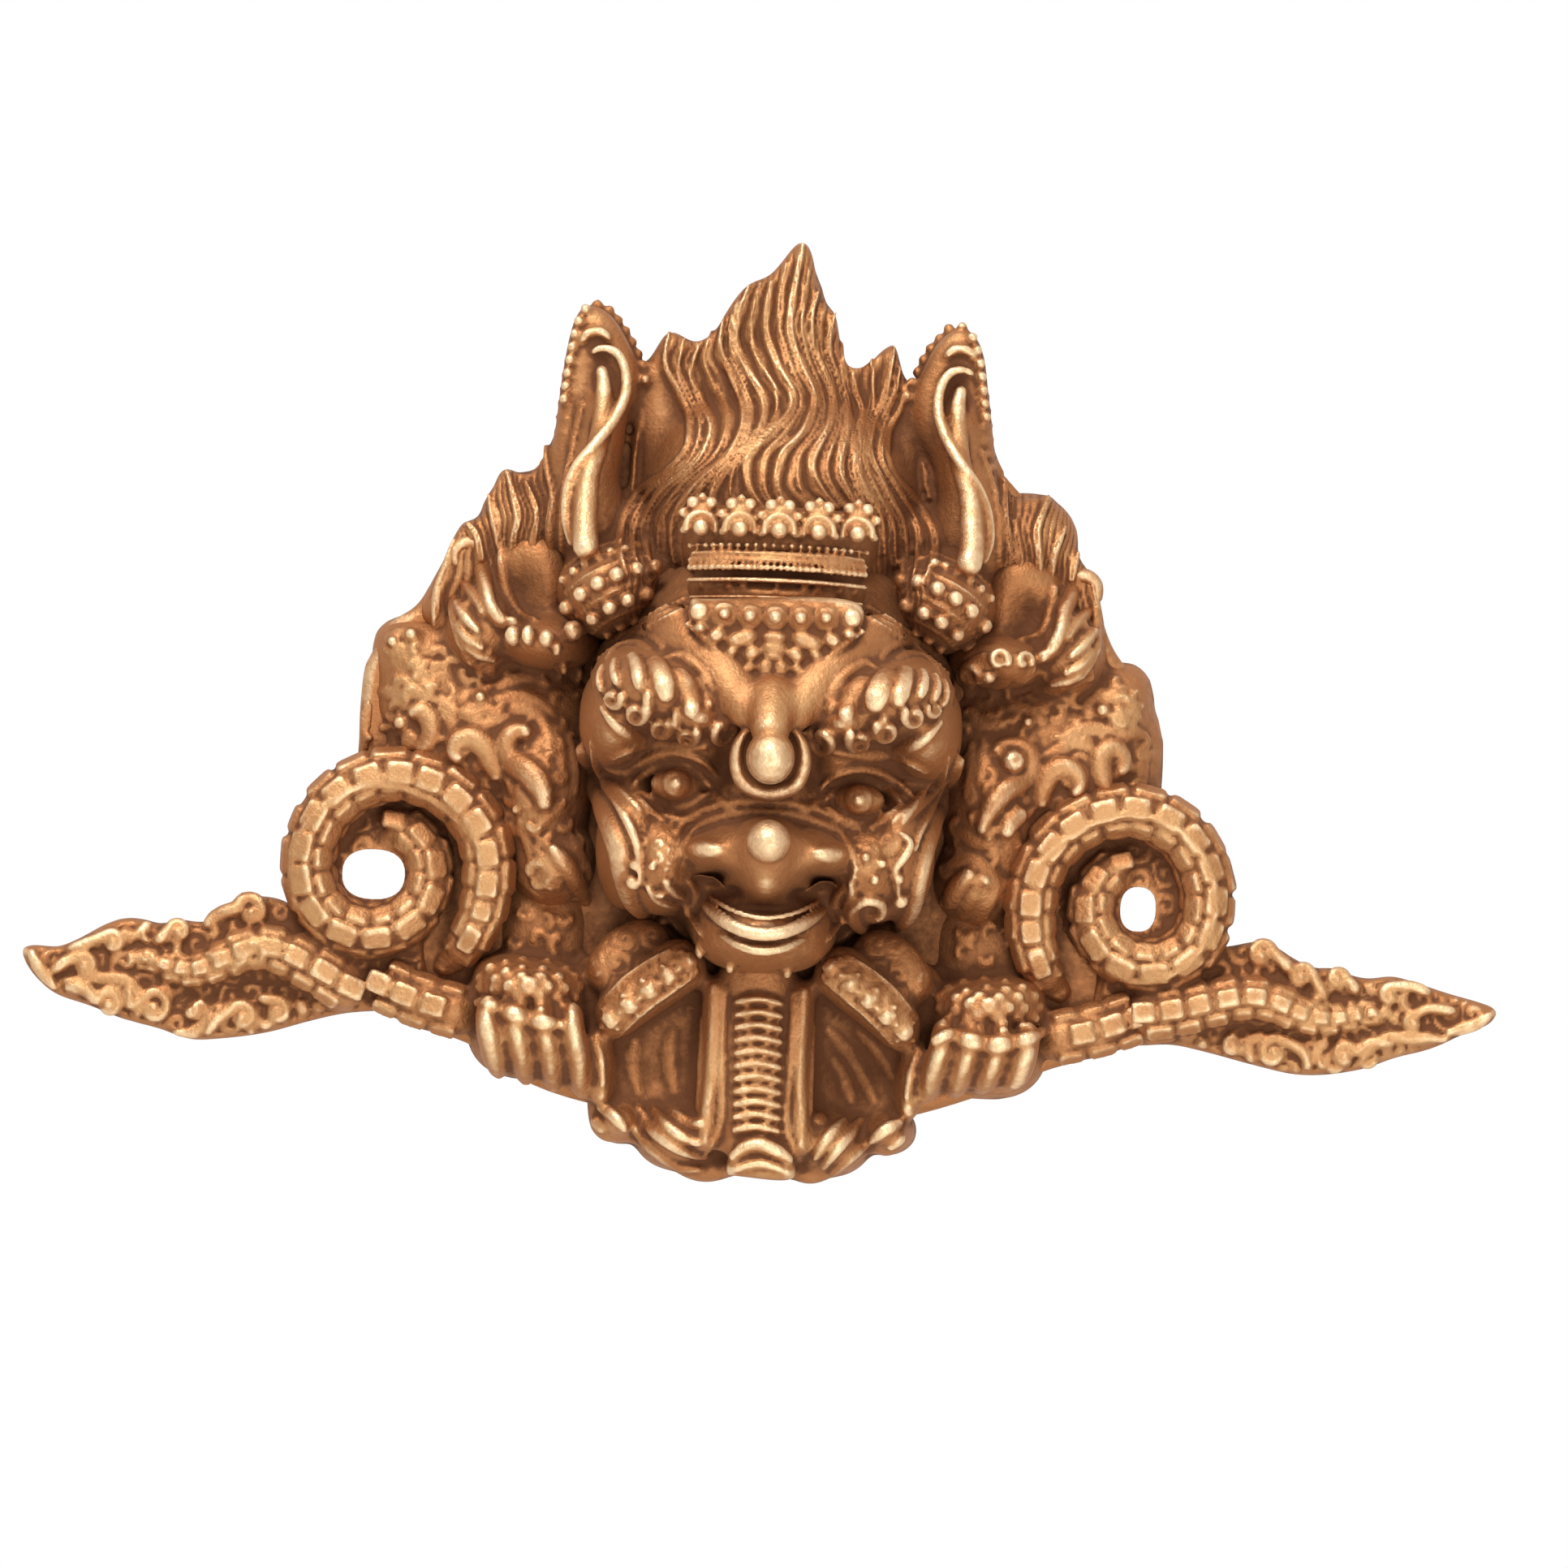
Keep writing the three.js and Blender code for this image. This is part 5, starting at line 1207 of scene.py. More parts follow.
def make_body(sizes):
    """Fists that grip the serpent, and the lower body with its ribs, bands and lobes."""
    body = Carving(ground=6)
    block = ((-30, -86), (30, -86), (27.5, -100), (25.6, -108), (25.8, -113), (24.8, -116.6), (22.6, -117.6),
             (19.4, -116.8), (16.6, -119), (13.4, -121.6), (9.8, -122.8), (6, -121.8), (2, -121.4),
             (-2.6, -121.8), (-6, -123), (-9.4, -123.1), (-13, -121.6), (-17, -119), (-20.4, -117),
             (-24.6, -117.2), (-27.2, -115.4), (-28.2, -111), (-28.4, -100))
    body.plate(block, 0, 11, soft=2)
    body.stroke(((-0.4, -86, 13), (-0.4, -104, 12.4), (0.4, -117, 11.5)), (6.4, 6.6, 6.8), high=8, power=2.6,
                sides=20, blunt=False)
    for side in SIDES:
        body.stroke(flip(((7.4, -88, 13), (7.4, -103, 13), (8.2, -118, 11.5)), side), (2.2, 2.2, 2.4), high=7,
                    sides=12)
        body.stroke(flip(((10, -84, 16), (16, -88.6, 15.4), (21.6, -93, 14.4), (26, -98.4, 12.6)), side),
                    (4.8, 4.8, 4.6, 3.4), high=(6, 6, 6, 5), sides=14)
        body.stroke(flip(((16, -81, 11), (23, -86, 12), (28, -91, 12)), side), (4.6, 5.2, 4), high=4,
                    sides=14)
        body.stroke(flip(((27, -97, 11), (25.8, -104, 10), (26, -111, 9)), side), (2.2, 2.2, 2.2), high=5.4,
                    sides=12)
        body.dome(side * 12.5, -115.4, 8, 6.4, 17.6)
        body.dome(side * 22.4, -113.2, 5.4, 4.4, 15.2)
        x, tip = side * 38.5, -108.4 if side < 0 else -106
        body.dome(x, -96.4, 11.2, 11.0, 13.5, power=2.6)
        body.dome(x, -91.6, 10.4, 5.4, 19, low=4, power=3.2, lean=side * 6)
        body.dome(side * 37, -82, 9, 11, 8, power=2.4)
        for finger in range(4):
            f = x - 7.2 + 4.8 * finger
            inner = 1.5 - side * (finger - 1.5)
            end = tip - 0.6 + 1.2 * (3 - inner)
            body.stroke(((f, -94.6, 15), (f - side * 0.2, -98, 17.6), (f - side * 1.1, -101.6, 16.2),
                         (f - side * 2.2, end, 9.4)), (1.9, 2.15, 2.2, 1.6), high=(3.2, 3.8, 3.8, 3.0),
                        sides=12)
        body.stroke(flip(((65, -91.6, 5.5), (57, -94.6, 6.5), (47, -97, 7.5)), side),
                    (SNAKE, SNAKE + 0.5, SNAKE), sides=16)
    body.plate(((-4.4, -121.6), (-4.2, -119.4), (-2.6, -117.2), (0.2, -115.2), (2.4, -115.4), (5.4, -117.2),
                (7.2, -119.2), (7.4, -121.6)), 6, 20.4, soft=1.4)

    def panels(points):
        dent(points, -16.2, -104, 8, 8.6, 1.0, 6)
        return dent(points, 16.6, -103.4, 9.4, 9.8, 3.4, 6)

    body.settle(grain=0.8, passes=4, shape=panels)
    for rib in range(11):
        up = -92.0 - 2.15 * rib
        shift = 0.05 * rib
        body.stroke(((shift - 4.2, up - 0.5), (shift, up + 0.35), (shift + 4.2, up - 0.5)),
                    (0.55, 0.85, 0.75, 0.85, 0.55), high=1.1, lift=0.25)
    for side in SIDES:
        body.stroke(flip(((5.9, -90), (5.8, -102), (5.8, -114), (8.4, -119)), side), (0.4, 0.6, 0.6, 0.4),
                    lift=0.2)
        body.stroke(flip(((9.4, -95), (9.2, -104), (9.6, -111)), side), (0.4, 0.7, 0.4), lift=0.1)
        inner = ((9, -86.6), (13.4, -90), (19, -94.4), (24, -99.6))
        outer = ((12.6, -82.6), (17.4, -85.4), (22.6, -89.2), (27.2, -94.4))
        for path in (inner, outer):
            body.stroke(flip(path, side), (0.4, 0.6, 0.6, 0.4), lift=0.0)
        for k in range(5):
            a, b = 12 + 3.2 * k, -85.8 - 2.6 * k
            body.bead(side * a, b, 1.6, 0.0, high=0.7, power=3, lean=-40 * side, sides=12)
            body.bead(side * a, b, 0.7, 0.5)
            for turn in (50, 140, 230, 320):
                angle = math.radians(turn)
                body.bead(side * (a + 2.0 * math.cos(angle)), b + 2.0 * math.sin(angle), 0.5, 0.3)
        edge = ((27.4, -98.6), (26.2, -103), (25.6, -108))
        body.stroke(flip(edge, side), (0.5, 0.9, 0.5), lift=0.2)
    body.stroke(((-3.6, -119), (-1.2, -116.8), (1.0, -116.2), (4, -117.2), (6.8, -119)),
                (0.7, 1.2, 1.4, 1.3, 0.7), lift=0.3, sides=10)
    body.stroke(((-3.2, -120.6), (1.6, -119.4), (6.8, -120.8)), (0.5, 0.8, 0.5), lift=0.2)
    lobes = (
        ((-19.8, -110.6), (-17.8, -113.6), (-14.4, -116.4), (-10.4, -118.2), (-7.2, -118.6)),
        ((-17.2, -110.8), (-15.2, -113.2), (-12, -115.4), (-8.4, -116.6)),
        ((-20.6, -113.8), (-17, -117.6), (-12, -120.6), (-8, -121)),
        ((-26.6, -110.8), (-24, -112.2), (-21.2, -115)), ((-27.4, -113), (-24.6, -115.4)),
        ((-14, -111.4), (-10.4, -113.2), (-8, -113)), ((18.6, -111), (15.6, -114.6), (11.8, -119.8)),
        ((15.6, -111.4), (12.8, -114.4), (10.4, -118.4)), ((20, -114.4), (16.8, -117.4), (13.4, -120.8)),
        ((25.2, -111.2), (22.4, -112.8), (19.6, -115.2)), ((25.6, -113.6), (22.6, -116)),
        ((11.6, -110.6), (10.4, -113)),
    )
    for path in lobes:
        body.stroke(path, (0.6, 1.2, 1.1, 0.6), high=0.9, lift=0.15, sides=8)
    folds = (
        ((-20.6, -99), (-20.8, -104), (-19.4, -109)), ((-14.2, -97.2), (-14.8, -102), (-13.4, -108.6)),
        ((11.4, -96), (15, -99.6), (19, -106), (20.6, -109)), ((12.6, -101), (14.6, -104), (16.6, -109)),
        ((16.6, -96), (20.6, -99.6), (23.4, -104.6)),
    )
    for path in folds:
        body.stroke(path, (0.5, 1.3, 1.2, 0.5), high=0.5, lift=-0.1, sides=10)
    knuckles = {
        -1: ((-47.6, -94.2), (-44.6, -95), (-41, -96), (-37, -97), (-32, -97.6)),
        1: ((29.4, -98), (32, -96.4), (36, -97.2), (40.4, -97.6), (45, -96.6), (48.6, -95)),
    }
    for side in SIDES:
        body.stroke(knuckles[side], (0.8, 1.5, 1.6, 1.5, 0.8), high=1.1, lift=0.1, sides=12)
    chance = np.random.default_rng(11)
    for side in SIDES:
        x = side * 38.8
        for reach, count, radius in ((0.0, 1, 1.9), (2.9, 6, 1.35), (5.4, 11, 1.1), (7.8, 15, 1.0)):
            for k in range(count):
                turn = 2 * math.pi * (k + chance.uniform(-0.15, 0.15)) / count
                a, b = x + 1.1 * reach * math.cos(turn), -91.2 + 0.55 * reach * math.sin(turn)
                body.bead(a, b, radius * chance.uniform(0.85, 1.15), 0.0, high=0.7)
        foliage(body, chance, side * 36, -80, 9, 7, size=0.75)
        rows = ((0, 4.0, 0.2), (56, 3.2, 0.7), (-56, 3.2, 0.7))
        scales(body, flip(((65, -91.6, 5.5), (57, -94.6, 6.5), (49, -96.6, 7.3)), side), SNAKE + 0.3, rows,
               4.7, side)

    def skin(points):
        x, z = abs(points[:, 0]), points[:, 2]
        share = np.clip((z + 96) / 4, 0, 1) * np.clip((x - 9) / 2, 0, 1) * np.clip((30 - x) / 2, 0, 1)
        return scrolls(points, body.bare(points) * share, cell=4.2, pitch=2.2, depth=0.25)

    cast("fists_and_body", body, sizes.grain, cutters=(hollow_cutter(),), shape=skin)


# Back plate

PLATE_GRAIN = 1.0


def make_plate():
    """Flat plate behind everything, within the outline of the carving."""
    rows = ((10, -25, 22), (0, -38, 36), (-5, -43, 41), (-14, -51.5, 50), (-20, -56.5, 53.5),
            (-24, -58.6, 55), (-28, -61, 56.4), (-31, -65.4, 58), (-35, -67.4, 61.4), (-38, -69, 63),
            (-44, -69.6, 64), (-50, -69.6, 64.4), (-57, -69, 65), (-66, -58, 57), (-80, -56, 55),
            (-92, -64, 65), (-97, -62, 62), (-102, -48, 49))
    outline = [(left, up) for up, left, _ in rows] + [(-38, -108), (-20, -112), (20, -112), (40, -106)]
    outline += [(right, up) for up, _, right in reversed(rows)]
    plate = Carving()
    plate.plate(outline, 0, 5, soft=1.0)
    cast("back_plate", plate, PLATE_GRAIN, cutters=(hollow_cutter(), *drills()), passes=2)


# Finish

class Value:
    """A socket in a sum: an expression on values adds its Math nodes."""

    def __init__(self, nodes, socket):
        self.nodes, self.socket = nodes, socket

    def math(self, operation, *others):
        return self.nodes.node("ShaderNodeMath", {"operation": operation}, self, *others)[0]

    def __add__(self, other):
        return self.math("ADD", other)

    def __radd__(self, other):
        return self + other

    def __mul__(self, other):
        return self.math("MULTIPLY", other)

    def __rmul__(self, other):
        return self * other

    def __sub__(self, other):
        return self.math("SUBTRACT", other)

    def __rsub__(self, other):
        return self.nodes.node("ShaderNodeMath", {"operation": "SUBTRACT"}, other, self)[0]

    def stretched(self, low, high):
        """From 0 at low to 1 at high, eased and held beyond them."""
        settings = {"interpolation_type": "SMOOTHSTEP"}
        return self.nodes.node("ShaderNodeMapRange", settings, self, low, high, 0.0, 1.0)[0]


class Nodes:
    """The nodes of one material or world."""

    def __init__(self, owner):
        self.owner = owner
        owner.use_nodes = True
        self.tree = owner.node_tree

    def connect(self, value, socket):
        if isinstance(value, Value):
            self.tree.links.new(value.socket, socket)
        elif value is not None:
            socket.default_value = value

    def node(self, kind, settings=None, *inputs, **named):
        """Adds a node, sets it, then fills its sockets in order or by name, and gives its outputs."""
        made = self.tree.nodes.new(kind)
        for name, value in (settings or {}).items():
            setattr(made, name, value)
        for socket, value in zip([socket for socket in made.inputs if socket.enabled], inputs):
            self.connect(value, socket)
        for name, value in named.items():
            self.connect(value, made.inputs[name.replace("_", " ")])
        return [Value(self, socket) for socket in made.outputs if socket.enabled]

    def mix(self, share, first, second):
        return self.node("ShaderNodeMix", {"data_type": "RGBA"}, share, first, second)[0]

    def noise(self, place, scale, detail=4.0, roughness=0.55):
        return self.node("ShaderNodeTexNoise", None, Vector=place, Scale=scale, Detail=detail,
                         Roughness=roughness)[0]


def aged_brass(look):
    """Brass that is darkened in hollows and creases, as tarnish and as painted shade, reddish in patches, and
    bright on its worn high points, which doubles as a painted highlight.
    """
    finish = Nodes(bpy.data.materials.new("aged_brass"))
    place = finish.node("ShaderNodeTexCoord")[3]
    shade_and_wear = finish.node("ShaderNodeAttribute", {"attribute_name": "shade_and_wear"})[0]
    # Channels of the vertex layer: painted shade where the sky is cut off, worn high points that are also
    # painted as highlights, and creases
    recess_shade, rub_and_highlight, crease = finish.node("ShaderNodeSeparateColor", None, shade_and_wear)
    broad = finish.noise(place, 60.0, 3.0) - 0.5
    middle = finish.noise(place, 260.0, 5.0) - 0.5
    fine = finish.noise(place, 1500.0, 4.0, 0.65) - 0.5
    patch = finish.noise(place, 750.0, 3.0) - 0.5
    # Shares of each cause in the darkening by tarnish and painted shade, in the worn brightness with painted
    # highlight and in the red stain
    # Painted shade together with the dark tarnish: darker where the sky is cut off and in creases, mottled by
    # noise
    patina_and_shade = (recess_shade + crease * 0.85 + broad * 0.5 + middle * 0.7 + patch * 0.6 - rub_and_highlight * 0.6).stretched(0.3, 1.2)
    # Painted highlight together with the worn metal: brighter on high points
    worn_and_highlight = (rub_and_highlight * 1.05 + middle * 0.5 + patch * 0.5 + broad * 0.3 - recess_shade * 0.5).stretched(0.4, 1.15)
    # The red stain is led by noise, and is stronger where the sky is cut off
    red = (broad * 0.9 + middle * 0.6 + patch * 0.4 + recess_shade * 1.3).stretched(0.0, 0.6)
    body = finish.mix(red * 0.85, tuple(look.brass) + (1,), tuple(look.copper) + (1,))
    body = finish.mix(worn_and_highlight, body, tuple(look.rubbed_and_highlight_tone) + (1,))
    colour = finish.mix(patina_and_shade, body, tuple(look.patina_and_shade_tone) + (1,))
    rough = 0.52 + patina_and_shade * 0.3 - worn_and_highlight * 0.1 + fine * 0.15
    metal = 0.85 - patina_and_shade * 0.5
    bump = finish.node("ShaderNodeBump", None, Strength=0.8, Distance=0.0005,
                       Height=fine * 0.3 + patch * 0.35 + middle * 0.6)[0]
    shader = finish.tree.nodes["Principled BSDF"]
    for name, value in (("Base Color", colour), ("Roughness", rough), ("Metallic", metal), ("Normal", bump),
                        ("Specular IOR Level", 0.25)):
        finish.connect(value, shader.inputs[name])
    return finish.owner


# Fine, middle and wide relief: rounds of smoothing that tell them apart, and for the worn high points, which
# are also painted as highlights, and the creases, which are painted as shade, the rise in millimetres at
# which each counts in full, with its weight
BULGE_PASSES = (6, 24, 90)
RUB_AND_HIGHLIGHT_WEIGHTS = ((0.12, 0.25), (0.3, 0.4), (0.8, 0.25))
CREASE_WEIGHTS = ((0.10, 0.5), (0.3, 0.4), (0.7, 0.4))
# Reaches in millimetres at which the sky is looked for, to paint shade where it is cut off, and the
# directions for it
SKY_REACHES = (0.8, 1.6, 3.0, 5.5, 10.0, 17.0)
SKY_ANGLES = np.radians(np.arange(0, 360, 22.5))
# Low and high corner and cell of the map of the front, and the reach of its surroundings, in millimetres
MAP_LOW, MAP_HIGH, CELL = np.array((-130.0, -130.0)), np.array((130.0, 45.0)), 0.5
AROUND = 9
# How far above its surroundings a place counts in full as worn and painted as highlight, with the weight of
# that
ABOVE_FULL, ABOVE_WEIGHT = 7, 0.3


def neighbour_mean(values, first, second, count):
    total = np.stack([np.bincount(first, values[second, k], len(values))
                      + np.bincount(second, values[first, k], len(values)) for k in range(values.shape[1])],
                     axis=1)
    return total / count[:, None]


def bulge(piece, passes):
    """How far each vertex stands out from its surroundings, smoothed for each count of passes."""
    mesh = piece.data
    edges = np.empty(2 * len(mesh.edges), np.int64)
    mesh.edges.foreach_get("vertices", edges)
    first, second = edges.reshape(-1, 2).T
    places = vertex_places(piece) / MM
    normals = np.empty(3 * len(mesh.vertices))
    mesh.vertex_normals.foreach_get("vector", normals)
    normals = normals.reshape(-1, 3)
    count = np.maximum(np.bincount(first, minlength=len(places)) + np.bincount(second, minlength=len(places)),
                       1)
    found, smooth, done = [], places, 0
    for target in passes:
        for _ in range(target - done):
            smooth = (smooth + neighbour_mean(smooth, first, second, count)) / 2
        done = target
        found.append(np.einsum("ij,ij->i", places - smooth, normals))
    return found


def map_cells(places):
    """Cells of the map that places, as rows of across and up, fall in."""
    return ((places - MAP_LOW) / CELL).round().astype(int)


def relief_map(clouds):
    """How far the front stands out in each cell of the map."""
    relief = np.zeros(tuple(((MAP_HIGH - MAP_LOW) / CELL).astype(int) + 1))
    for cloud in clouds:
        spot = map_cells(cloud[:, (0, 2)])
        np.maximum.at(relief, (spot[:, 0], spot[:, 1]), -cloud[:, 1])
    for _ in range(2):
        spread = np.maximum.reduce([np.roll(relief, shift, axis) for shift in (-1, 1) for axis in (0, 1)])
        relief = np.where(relief > 0, relief, spread)
    return relief


def blurred(relief, reach):
    """Mean of the covered cells within a square reach."""
    totals = []
    for layer in (relief, (relief > 0).astype(float)):
        for axis in (0, 1):
            padded = np.cumsum(np.pad(layer, [(reach + 1, reach) if k == axis else (0, 0) for k in (0, 1)]),
                               axis=axis)
            size = layer.shape[axis]
            beyond = np.take(padded, range(2 * reach + 1, 2 * reach + 1 + size), axis)
            layer = beyond - np.take(padded, range(size), axis)
        totals.append(layer)
    return totals[0] / np.maximum(totals[1], 1)


def exposure(clouds):
    """How much of the sky in front each vertex misses behind others, which is painted as shade, and how far
    it stands above them, which is painted as worn highlight.
    """
    relief = relief_map(clouds)
    around = blurred(relief, round(AROUND / CELL))
    most = np.array(relief.shape) - 1
    result = []
    for cloud in clouds:
        sky_shade = np.zeros(len(cloud))
        for angle in SKY_ANGLES:
            steepest = np.zeros(len(cloud))
            for reach in SKY_REACHES:
                places = cloud[:, (0, 2)] + reach * np.array((math.cos(angle), math.sin(angle)))
                spot = np.clip(map_cells(places), 0, most)
                steepest = np.maximum(steepest, (relief[spot[:, 0], spot[:, 1]] + cloud[:, 1]) / reach)
            sky_shade += steepest / np.sqrt(1 + steepest ** 2) / len(SKY_ANGLES)
        spot = np.clip(map_cells(cloud[:, (0, 2)]), 0, most)
        result.append((sky_shade, -cloud[:, 1] - around[spot[:, 0], spot[:, 1]]))
    return result


def weighted(rises, weights):
    """Sum of the rises, each held between 0 and its full value and weighted."""
    return sum(np.clip(rise / full, 0, 1) * weight for rise, (full, weight) in zip(rises, weights))


def paint_shade_and_weather(pieces, material):
    """Writes onto the vertices the painted shade where the sky is cut off and in creases, which goes with the
    dark tarnish, and the worn high points, which are also painted as highlights, and gives each piece its
    finish.
    """
    for piece, (sky_shade, above) in zip(pieces, exposure([vertex_places(piece) / MM for piece in pieces])):
        rises = bulge(piece, BULGE_PASSES)
        # Worn high points, also painted as highlights
        rub_and_highlight = weighted(rises, RUB_AND_HIGHLIGHT_WEIGHTS) + ABOVE_WEIGHT * np.clip(above / ABOVE_FULL, -1, 1)
        # Creases, darkened as tarnish and as painted shade
        crease = weighted([-rise for rise in rises], CREASE_WEIGHTS)
        shade_and_wear = np.stack([np.clip(part, 0, 1) for part in (sky_shade, rub_and_highlight, crease, np.ones(len(rub_and_highlight)))], axis=1)
        layer = piece.data.attributes.new("shade_and_wear", "FLOAT_COLOR", "POINT")
        layer.data.foreach_set("color", shade_and_wear.astype(np.float32).ravel())
        piece.data.materials.clear()
        piece.data.materials.append(material)


# Stage

FLOOR_SIZE, FLOOR_HEIGHT = 6.0, -0.6
LIGHT_TARGET = Vector((0, 0, -0.05))
# Name, place, width and power of each lamp
LAMPS = (("key", (-0.3, -0.9, 1.0), 0.45, 15.0), ("fill", (0.3, -1.1, -0.3), 0.5, 4.0))
# Light that comes from low in front, and what is added to it high up
LOW_LIGHT, HIGH_LIGHT = 0.55, 0.46
SENSOR_WIDTH = 36.0
FRONT = 0.02


def make_stage():
    """Pale floor below the mask, a white wall of light behind it and soft light from above in front."""
    scene = bpy.context.scene
    scene.view_settings.view_transform = "Standard"
    scene.world = bpy.data.worlds.new("studio")
    studio = Nodes(scene.world)
    direction = studio.node("ShaderNodeTexCoord")[0]
    _, ahead, above = studio.node("ShaderNodeSeparateXYZ", None, direction)
    behind = ahead.stretched(-0.02, 0.1)
    front = LOW_LIGHT + HIGH_LIGHT * above.stretched(-0.1, 0.9)
    studio.connect(front + behind * (1.0 - front), studio.tree.nodes["Background"].inputs["Strength"])
    studio.connect((1.0, 1.0, 1.0, 1.0), studio.tree.nodes["Background"].inputs["Color"])
    bpy.ops.object.select_all(action="DESELECT")
    bpy.ops.mesh.primitive_plane_add(size=FLOOR_SIZE, location=(0, 0, FLOOR_HEIGHT))
    floor = bpy.context.object
    floor.name = "floor"
    plain = Nodes(bpy.data.materials.new("pale_floor"))
    shader = plain.tree.nodes["Principled BSDF"]
    plain.connect((0.8, 0.8, 0.78, 1.0), shader.inputs["Base Color"])
    plain.connect(0.7, shader.inputs["Roughness"])
    floor.data.materials.append(plain.owner)
    for name, place, size, power in LAMPS:
        bpy.ops.object.light_add(type="AREA", location=place)
        lamp = bpy.context.object
        lamp.name = name
        lamp.data.size = size
        lamp.data.energy = power
        lamp.rotation_euler = (LIGHT_TARGET - Vector(place)).to_track_quat("-Z", "Y").to_euler()


def make_camera(view):
    """The camera stands straight in front, and is rolled so that the mask leans as in the photograph."""
    bpy.ops.object.camera_add()
    camera = bpy.context.object
    camera.data.sensor_width = SENSOR_WIDTH
    camera.data.lens = SENSOR_WIDTH * view.distance / view.width
    camera.data.clip_end = 20.0
    place = Matrix.Translation((view.aim[0], -view.distance - FRONT, view.aim[1]))
    camera.matrix_world = place @ Matrix.Rotation(math.pi / 2, 4, "X") @ Matrix.Rotation(view.roll, 4, "Z")
    bpy.context.scene.camera = camera


# Settings, operators and panel

class MaskSizes(bpy.types.PropertyGroup):
    grain: FloatProperty(name="Grain", description="Finest carved detail, in millimetres", default=0.42,
                         min=0.2, max=2.0)


class MaskLook(bpy.types.PropertyGroup):
    brass: FloatVectorProperty(name="Brass", description="Aged metal", subtype="COLOR", size=3,
                               default=(0.53, 0.287, 0.125))
    copper: FloatVectorProperty(name="Warm stain", description="Redder tarnish", subtype="COLOR", size=3,
                                default=(0.37, 0.142, 0.05))
    # Colour of the worn high points, also used as the painted highlight
    rubbed_and_highlight_tone: FloatVectorProperty(name="Rubbed metal", description="Bright high points", subtype="COLOR",
                                size=3, default=(0.86, 0.61, 0.36))
    # Colour of the dark tarnish, also used as the painted shade
    patina_and_shade_tone: FloatVectorProperty(name="Patina", description="Dark recesses", subtype="COLOR", size=3,
                                default=(0.145, 0.053, 0.02))


class MaskView(bpy.types.PropertyGroup):
    width: FloatProperty(name="View width", description="Width that the picture takes in", default=0.2639,
                         unit="LENGTH")
    distance: FloatProperty(name="Distance", description="From the camera to the mask", default=2.5,
                            unit="LENGTH")
    roll: FloatProperty(name="Roll", description="Lean of the picture", default=math.radians(2.5),
                        unit="ROTATION")
    aim: FloatVectorProperty(name="Aim", description="Point in the middle of the picture, across and up",
                             size=2, default=(0.00266, -0.05534), unit="LENGTH")


class MASK_OT_stage(bpy.types.Operator):
    """Adds the camera, the floor and the lights"""
    bl_idname = "mask.stage"
    bl_label = "Stage"

    def execute(self, context):
        make_camera(context.scene.mask_view)
        make_stage()
        return {"FINISHED"}


class MASK_OT_face(bpy.types.Operator):
    """Models the face with its brows, eyes, nose, mouth and cheeks"""
    bl_idname = "mask.face"
    bl_label = "Face"

    def execute(self, context):
        make_face(context.scene.mask_sizes)
        return {"FINISHED"}


class MASK_OT_hair(bpy.types.Operator):
    """Models the flame hair, the horns, their hoods and their collars"""
    bl_idname = "mask.hair"
    bl_label = "Hair and horns"

    def execute(self, context):
        make_hair(context.scene.mask_sizes)
        return {"FINISHED"}


class MASK_OT_crown(bpy.types.Operator):
    """Models the crown with its five finials"""
    bl_idname = "mask.crown"
    bl_label = "Crown"

    def execute(self, context):
        make_crown(context.scene.mask_sizes)
        return {"FINISHED"}


class MASK_OT_sides(bpy.types.Operator):
    """Models the ears and the scrolled panels below them"""
    bl_idname = "mask.sides"
    bl_label = "Ears and shoulders"

    def execute(self, context):
        make_sides(context.scene.mask_sizes)
        return {"FINISHED"}


class MASK_OT_serpents(bpy.types.Operator):
    """Models the two serpents with their coils and tails"""
    bl_idname = "mask.serpents"
    bl_label = "Serpents"

    def execute(self, context):
        for side in SIDES:
            make_serpent(context.scene.mask_sizes, side)
        return {"FINISHED"}


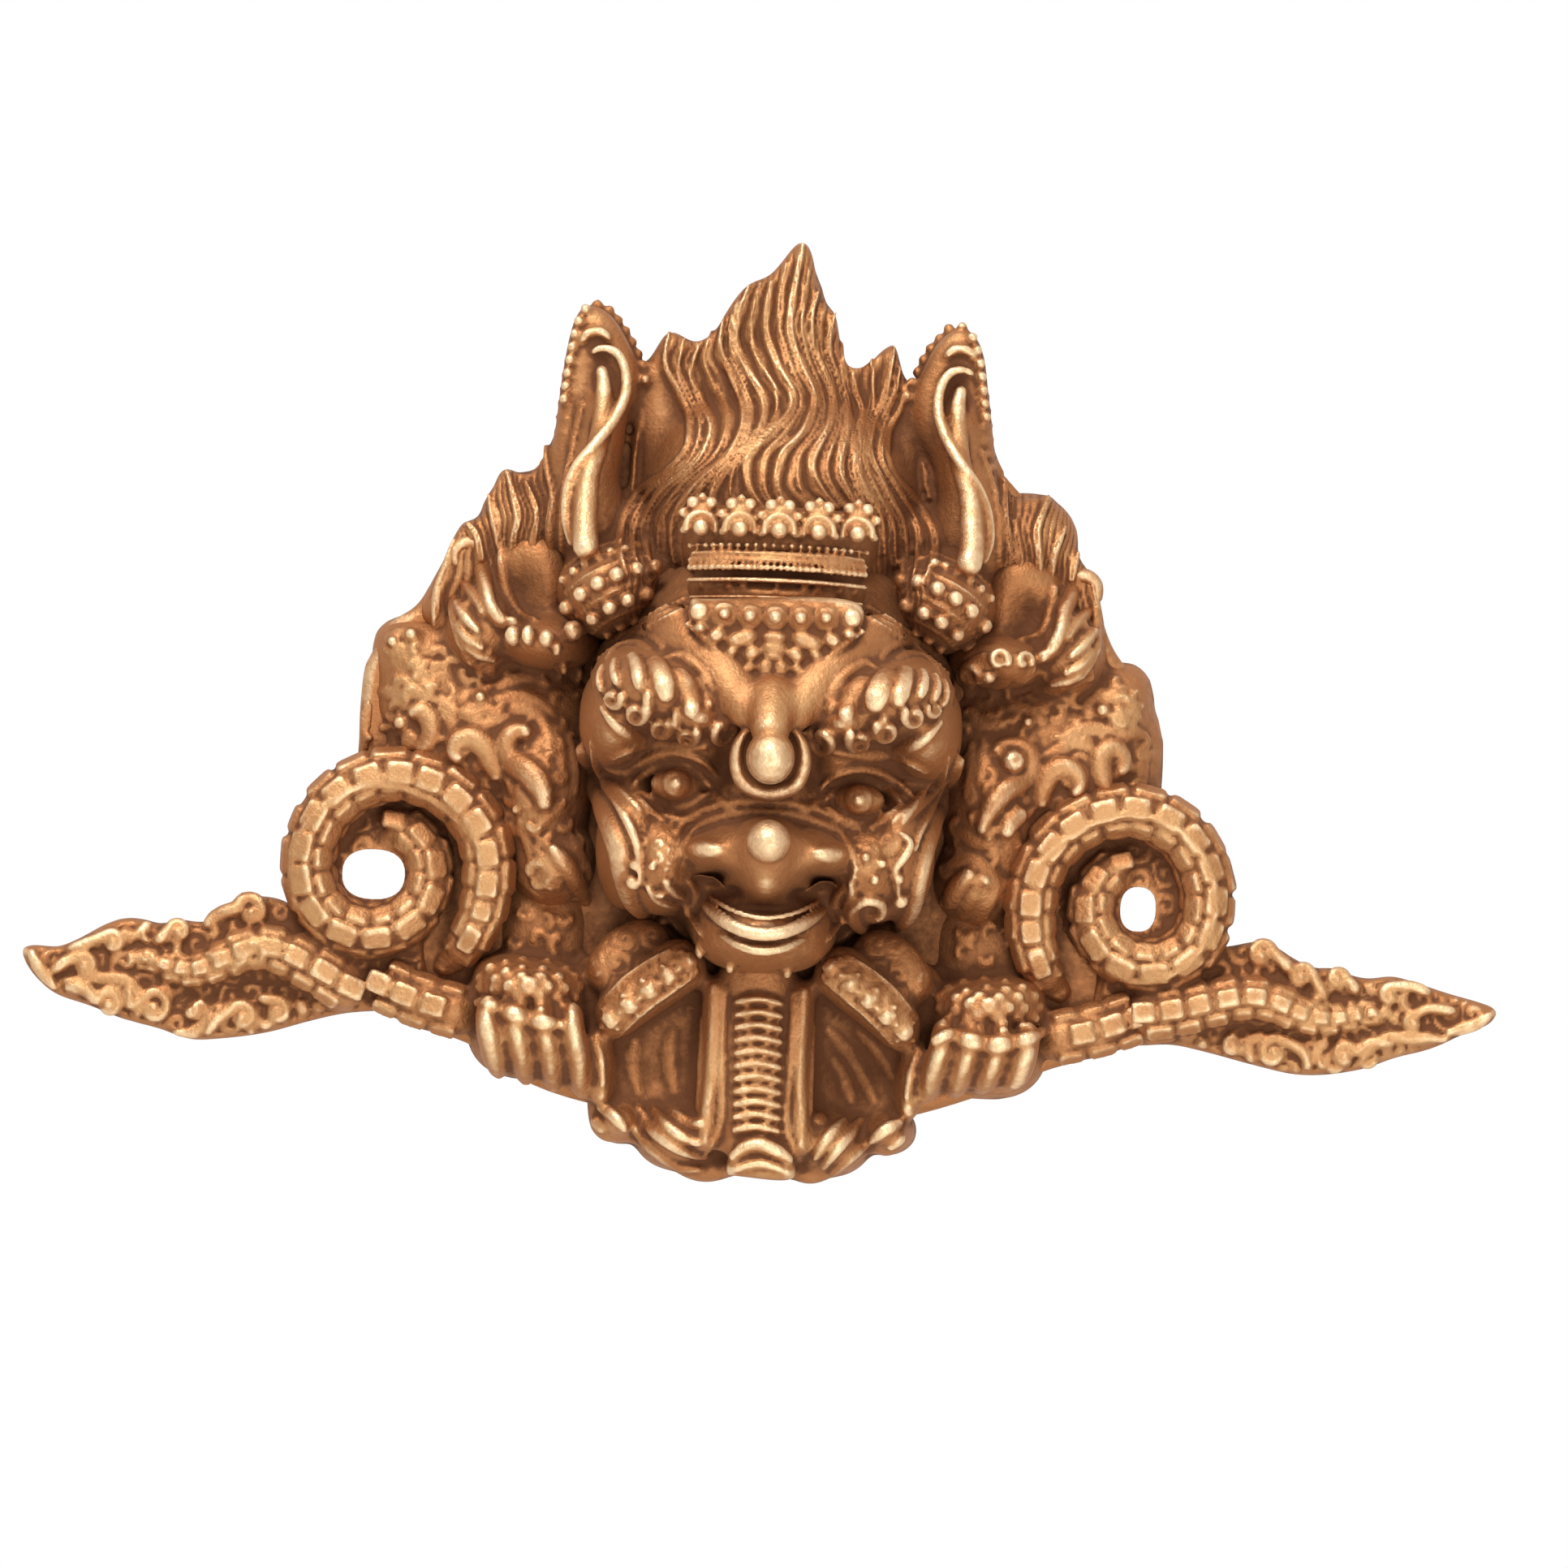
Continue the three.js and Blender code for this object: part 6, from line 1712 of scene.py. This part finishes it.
class MASK_OT_body(bpy.types.Operator):
    """Models the fists and the lower body"""
    bl_idname = "mask.body"
    bl_label = "Fists and body"

    def execute(self, context):
        make_body(context.scene.mask_sizes)
        return {"FINISHED"}


class MASK_OT_plate(bpy.types.Operator):
    """Models the plate behind the carving"""
    bl_idname = "mask.plate"
    bl_label = "Back plate"

    def execute(self, context):
        make_plate()
        return {"FINISHED"}


class MASK_OT_finish(bpy.types.Operator):
    """Paints shade into the hollows and highlights onto the high points of every piece, along with its
    tarnish and worn places, and gives it its metal
    """
    bl_idname = "mask.finish"
    # The button paints shade and highlights along with the tarnish
    bl_label = "Patina"

    def execute(self, context):
        pieces = [piece for piece in context.scene.objects if piece.type == "MESH" and piece.name in PIECES]
        if not pieces:
            raise RuntimeError("there is no piece to finish")
        paint_shade_and_weather(pieces, aged_brass(context.scene.mask_look))
        return {"FINISHED"}


class MASK_PT_panel(bpy.types.Panel):
    """Steps that build the mask, in order"""
    bl_idname = "MASK_PT_panel"
    bl_label = "Garuda Mask"
    bl_space_type = "VIEW_3D"
    bl_region_type = "UI"
    bl_category = "Garuda Mask"

    def draw(self, context):
        for operator in OPERATORS:
            self.layout.operator(operator.bl_idname)
        self.layout.prop(context.scene.mask_sizes, "grain")


OPERATORS = (MASK_OT_stage, MASK_OT_face, MASK_OT_hair, MASK_OT_crown, MASK_OT_sides, MASK_OT_serpents,
             MASK_OT_body, MASK_OT_plate, MASK_OT_finish)
GROUPS = {"mask_sizes": MaskSizes, "mask_look": MaskLook, "mask_view": MaskView}


def register():
    for made in (*GROUPS.values(), *OPERATORS, MASK_PT_panel):
        bpy.utils.register_class(made)
    for name, group in GROUPS.items():
        setattr(bpy.types.Scene, name, PointerProperty(type=group))


def unregister():
    for name in GROUPS:
        delattr(bpy.types.Scene, name)
    for made in (MASK_PT_panel, *reversed(OPERATORS), *GROUPS.values()):
        bpy.utils.unregister_class(made)


def main():
    register()
    for operator in OPERATORS:
        group, name = operator.bl_idname.split(".")
        getattr(getattr(bpy.ops, group), name)()


if __name__ == "__main__":
    main()
